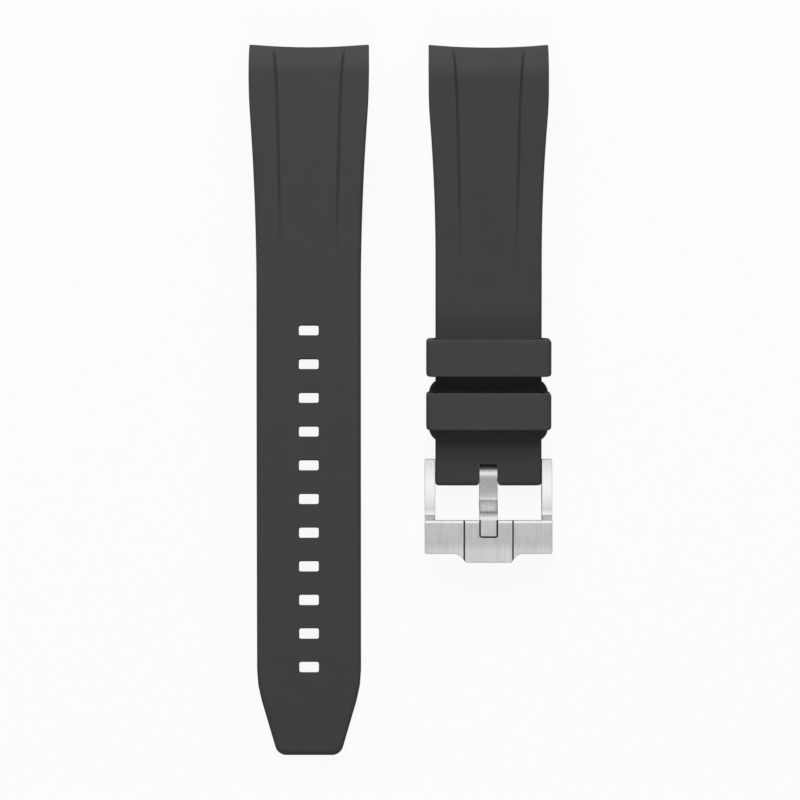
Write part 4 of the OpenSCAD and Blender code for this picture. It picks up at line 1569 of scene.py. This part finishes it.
def background(tree, tint, strength):
    """A Background shader, from sockets or plain values."""
    node = add_node(tree, "ShaderNodeBackground")
    for label, value in (("Color", tint), ("Strength", strength)):
        if isinstance(value, bpy.types.NodeSocket):
            tree.links.new(value, node.inputs[label])
        else:
            node.inputs[label].default_value = value
    return node.outputs["Background"]


def blended(tree, share, first, second):
    """The first shader where the share is 0 and the second where it is 1."""
    mix = add_node(tree, "ShaderNodeMixShader")
    tree.links.new(share, mix.inputs["Fac"])
    tree.links.new(first, mix.inputs[1])
    tree.links.new(second, mix.inputs[2])
    return mix.outputs["Shader"]


def floor_material(tint):
    """A pale table: most of what the camera sees is plain white, the rest keeps shadows."""
    material = bpy.data.materials.new("White Table")
    material.use_nodes = True
    tree = material.node_tree
    shader = next(n for n in tree.nodes if n.type == "BSDF_PRINCIPLED")
    output = next(n for n in tree.nodes if n.type == "OUTPUT_MATERIAL")
    shader.inputs["Base Color"].default_value = (*tint, 1)
    shader.inputs["Roughness"].default_value = 0.9
    white = add_node(tree, "ShaderNodeEmission")
    path = add_node(tree, "ShaderNodeLightPath")
    share = calculate(tree, "MULTIPLY", path.outputs["Is Camera Ray"], PLAIN_WHITE)
    mixed = blended(tree, share, shader.outputs["BSDF"], white.outputs["Emission"])
    tree.links.new(mixed, output.inputs["Surface"])
    return material


class STRAP_OT_stage(Operator):
    """Set up the white table, the soft lamps and the camera over the strap"""
    bl_idname = "dive_strap.stage"
    bl_label = "Stage"

    def execute(self, context):
        scene = context.scene
        s = scene.dive_strap.stage
        mesh = bpy.data.meshes.new("table")
        corners = box_corners(2 * TABLE_REACH, 2 * TABLE_REACH, 0)
        mesh.from_pydata(corners, [], [[0, 1, 2, 3]])
        mesh.materials.append(floor_material(s.floor_colour))
        table = bpy.data.objects.new("table", mesh)
        scene.collection.objects.link(table)
        flat = s.lamp_reach * math.cos(s.key_height)
        key = (-flat * math.sin(s.key_turn), flat * math.cos(s.key_turn),
               s.lamp_reach * math.sin(s.key_height))
        add_lamp("key_lamp", key, KEY_SIZE, s.key_power)
        fill = (0, -s.lamp_reach * math.cos(s.fill_height),
                s.lamp_reach * math.sin(s.fill_height))
        add_lamp("fill_lamp", fill, FILL_SIZE, s.fill_power)
        paint_world(s.sky)
        data = bpy.data.cameras.new("camera")
        data.sensor_width = s.sensor
        data.lens = s.sensor * (s.camera_height - s.face_height) / s.frame_width
        camera = bpy.data.objects.new("camera", data)
        camera.location = (s.camera_x, 0, s.camera_height)
        scene.collection.objects.link(camera)
        scene.camera = camera
        scene.view_settings.view_transform = "Standard"
        return {"FINISHED"}


OPERATORS = (STRAP_OT_stage, STRAP_OT_tail_half, STRAP_OT_buckle_half, STRAP_OT_keepers,
             STRAP_OT_buckle, STRAP_OT_tongue, STRAP_OT_spring_bar)


class STRAP_PT_panel(Panel):
    """Sizes, finishes and the steps that build the strap"""
    bl_label = "Dive Strap"
    bl_space_type = "VIEW_3D"
    bl_region_type = "UI"
    bl_category = "Dive Strap"

    def draw(self, context):
        settings = context.scene.dive_strap
        for operator in OPERATORS:
            self.layout.operator(operator.bl_idname)
        for name in DiveStrapSettings.__annotations__:
            group = getattr(settings, name)
            box = self.layout.box()
            box.label(text=group.__doc__)
            for size in type(group).__annotations__:
                box.prop(group, size)


CLASSES = (LugEndSizes, GrooveSizes, TailSizes, HoleSizes, BuckleHalfSizes, KeeperSizes,
           BuckleSizes, TongueSizes, SpringSizes, Finish, StageSettings, DiveStrapSettings, *OPERATORS,
           STRAP_PT_panel)


def register():
    """Adds the classes and the settings to Blender."""
    for cls in CLASSES:
        bpy.utils.register_class(cls)
    bpy.types.Scene.dive_strap = PointerProperty(type=DiveStrapSettings)


def unregister():
    """Takes the settings and the classes out again."""
    del bpy.types.Scene.dive_strap
    for cls in reversed(CLASSES):
        bpy.utils.unregister_class(cls)


def main():
    """Builds everything in order."""
    register()
    for operator in OPERATORS:
        area, name = operator.bl_idname.split(".")
        getattr(getattr(bpy.ops, area), name)()


if __name__ == "__main__":
    main()
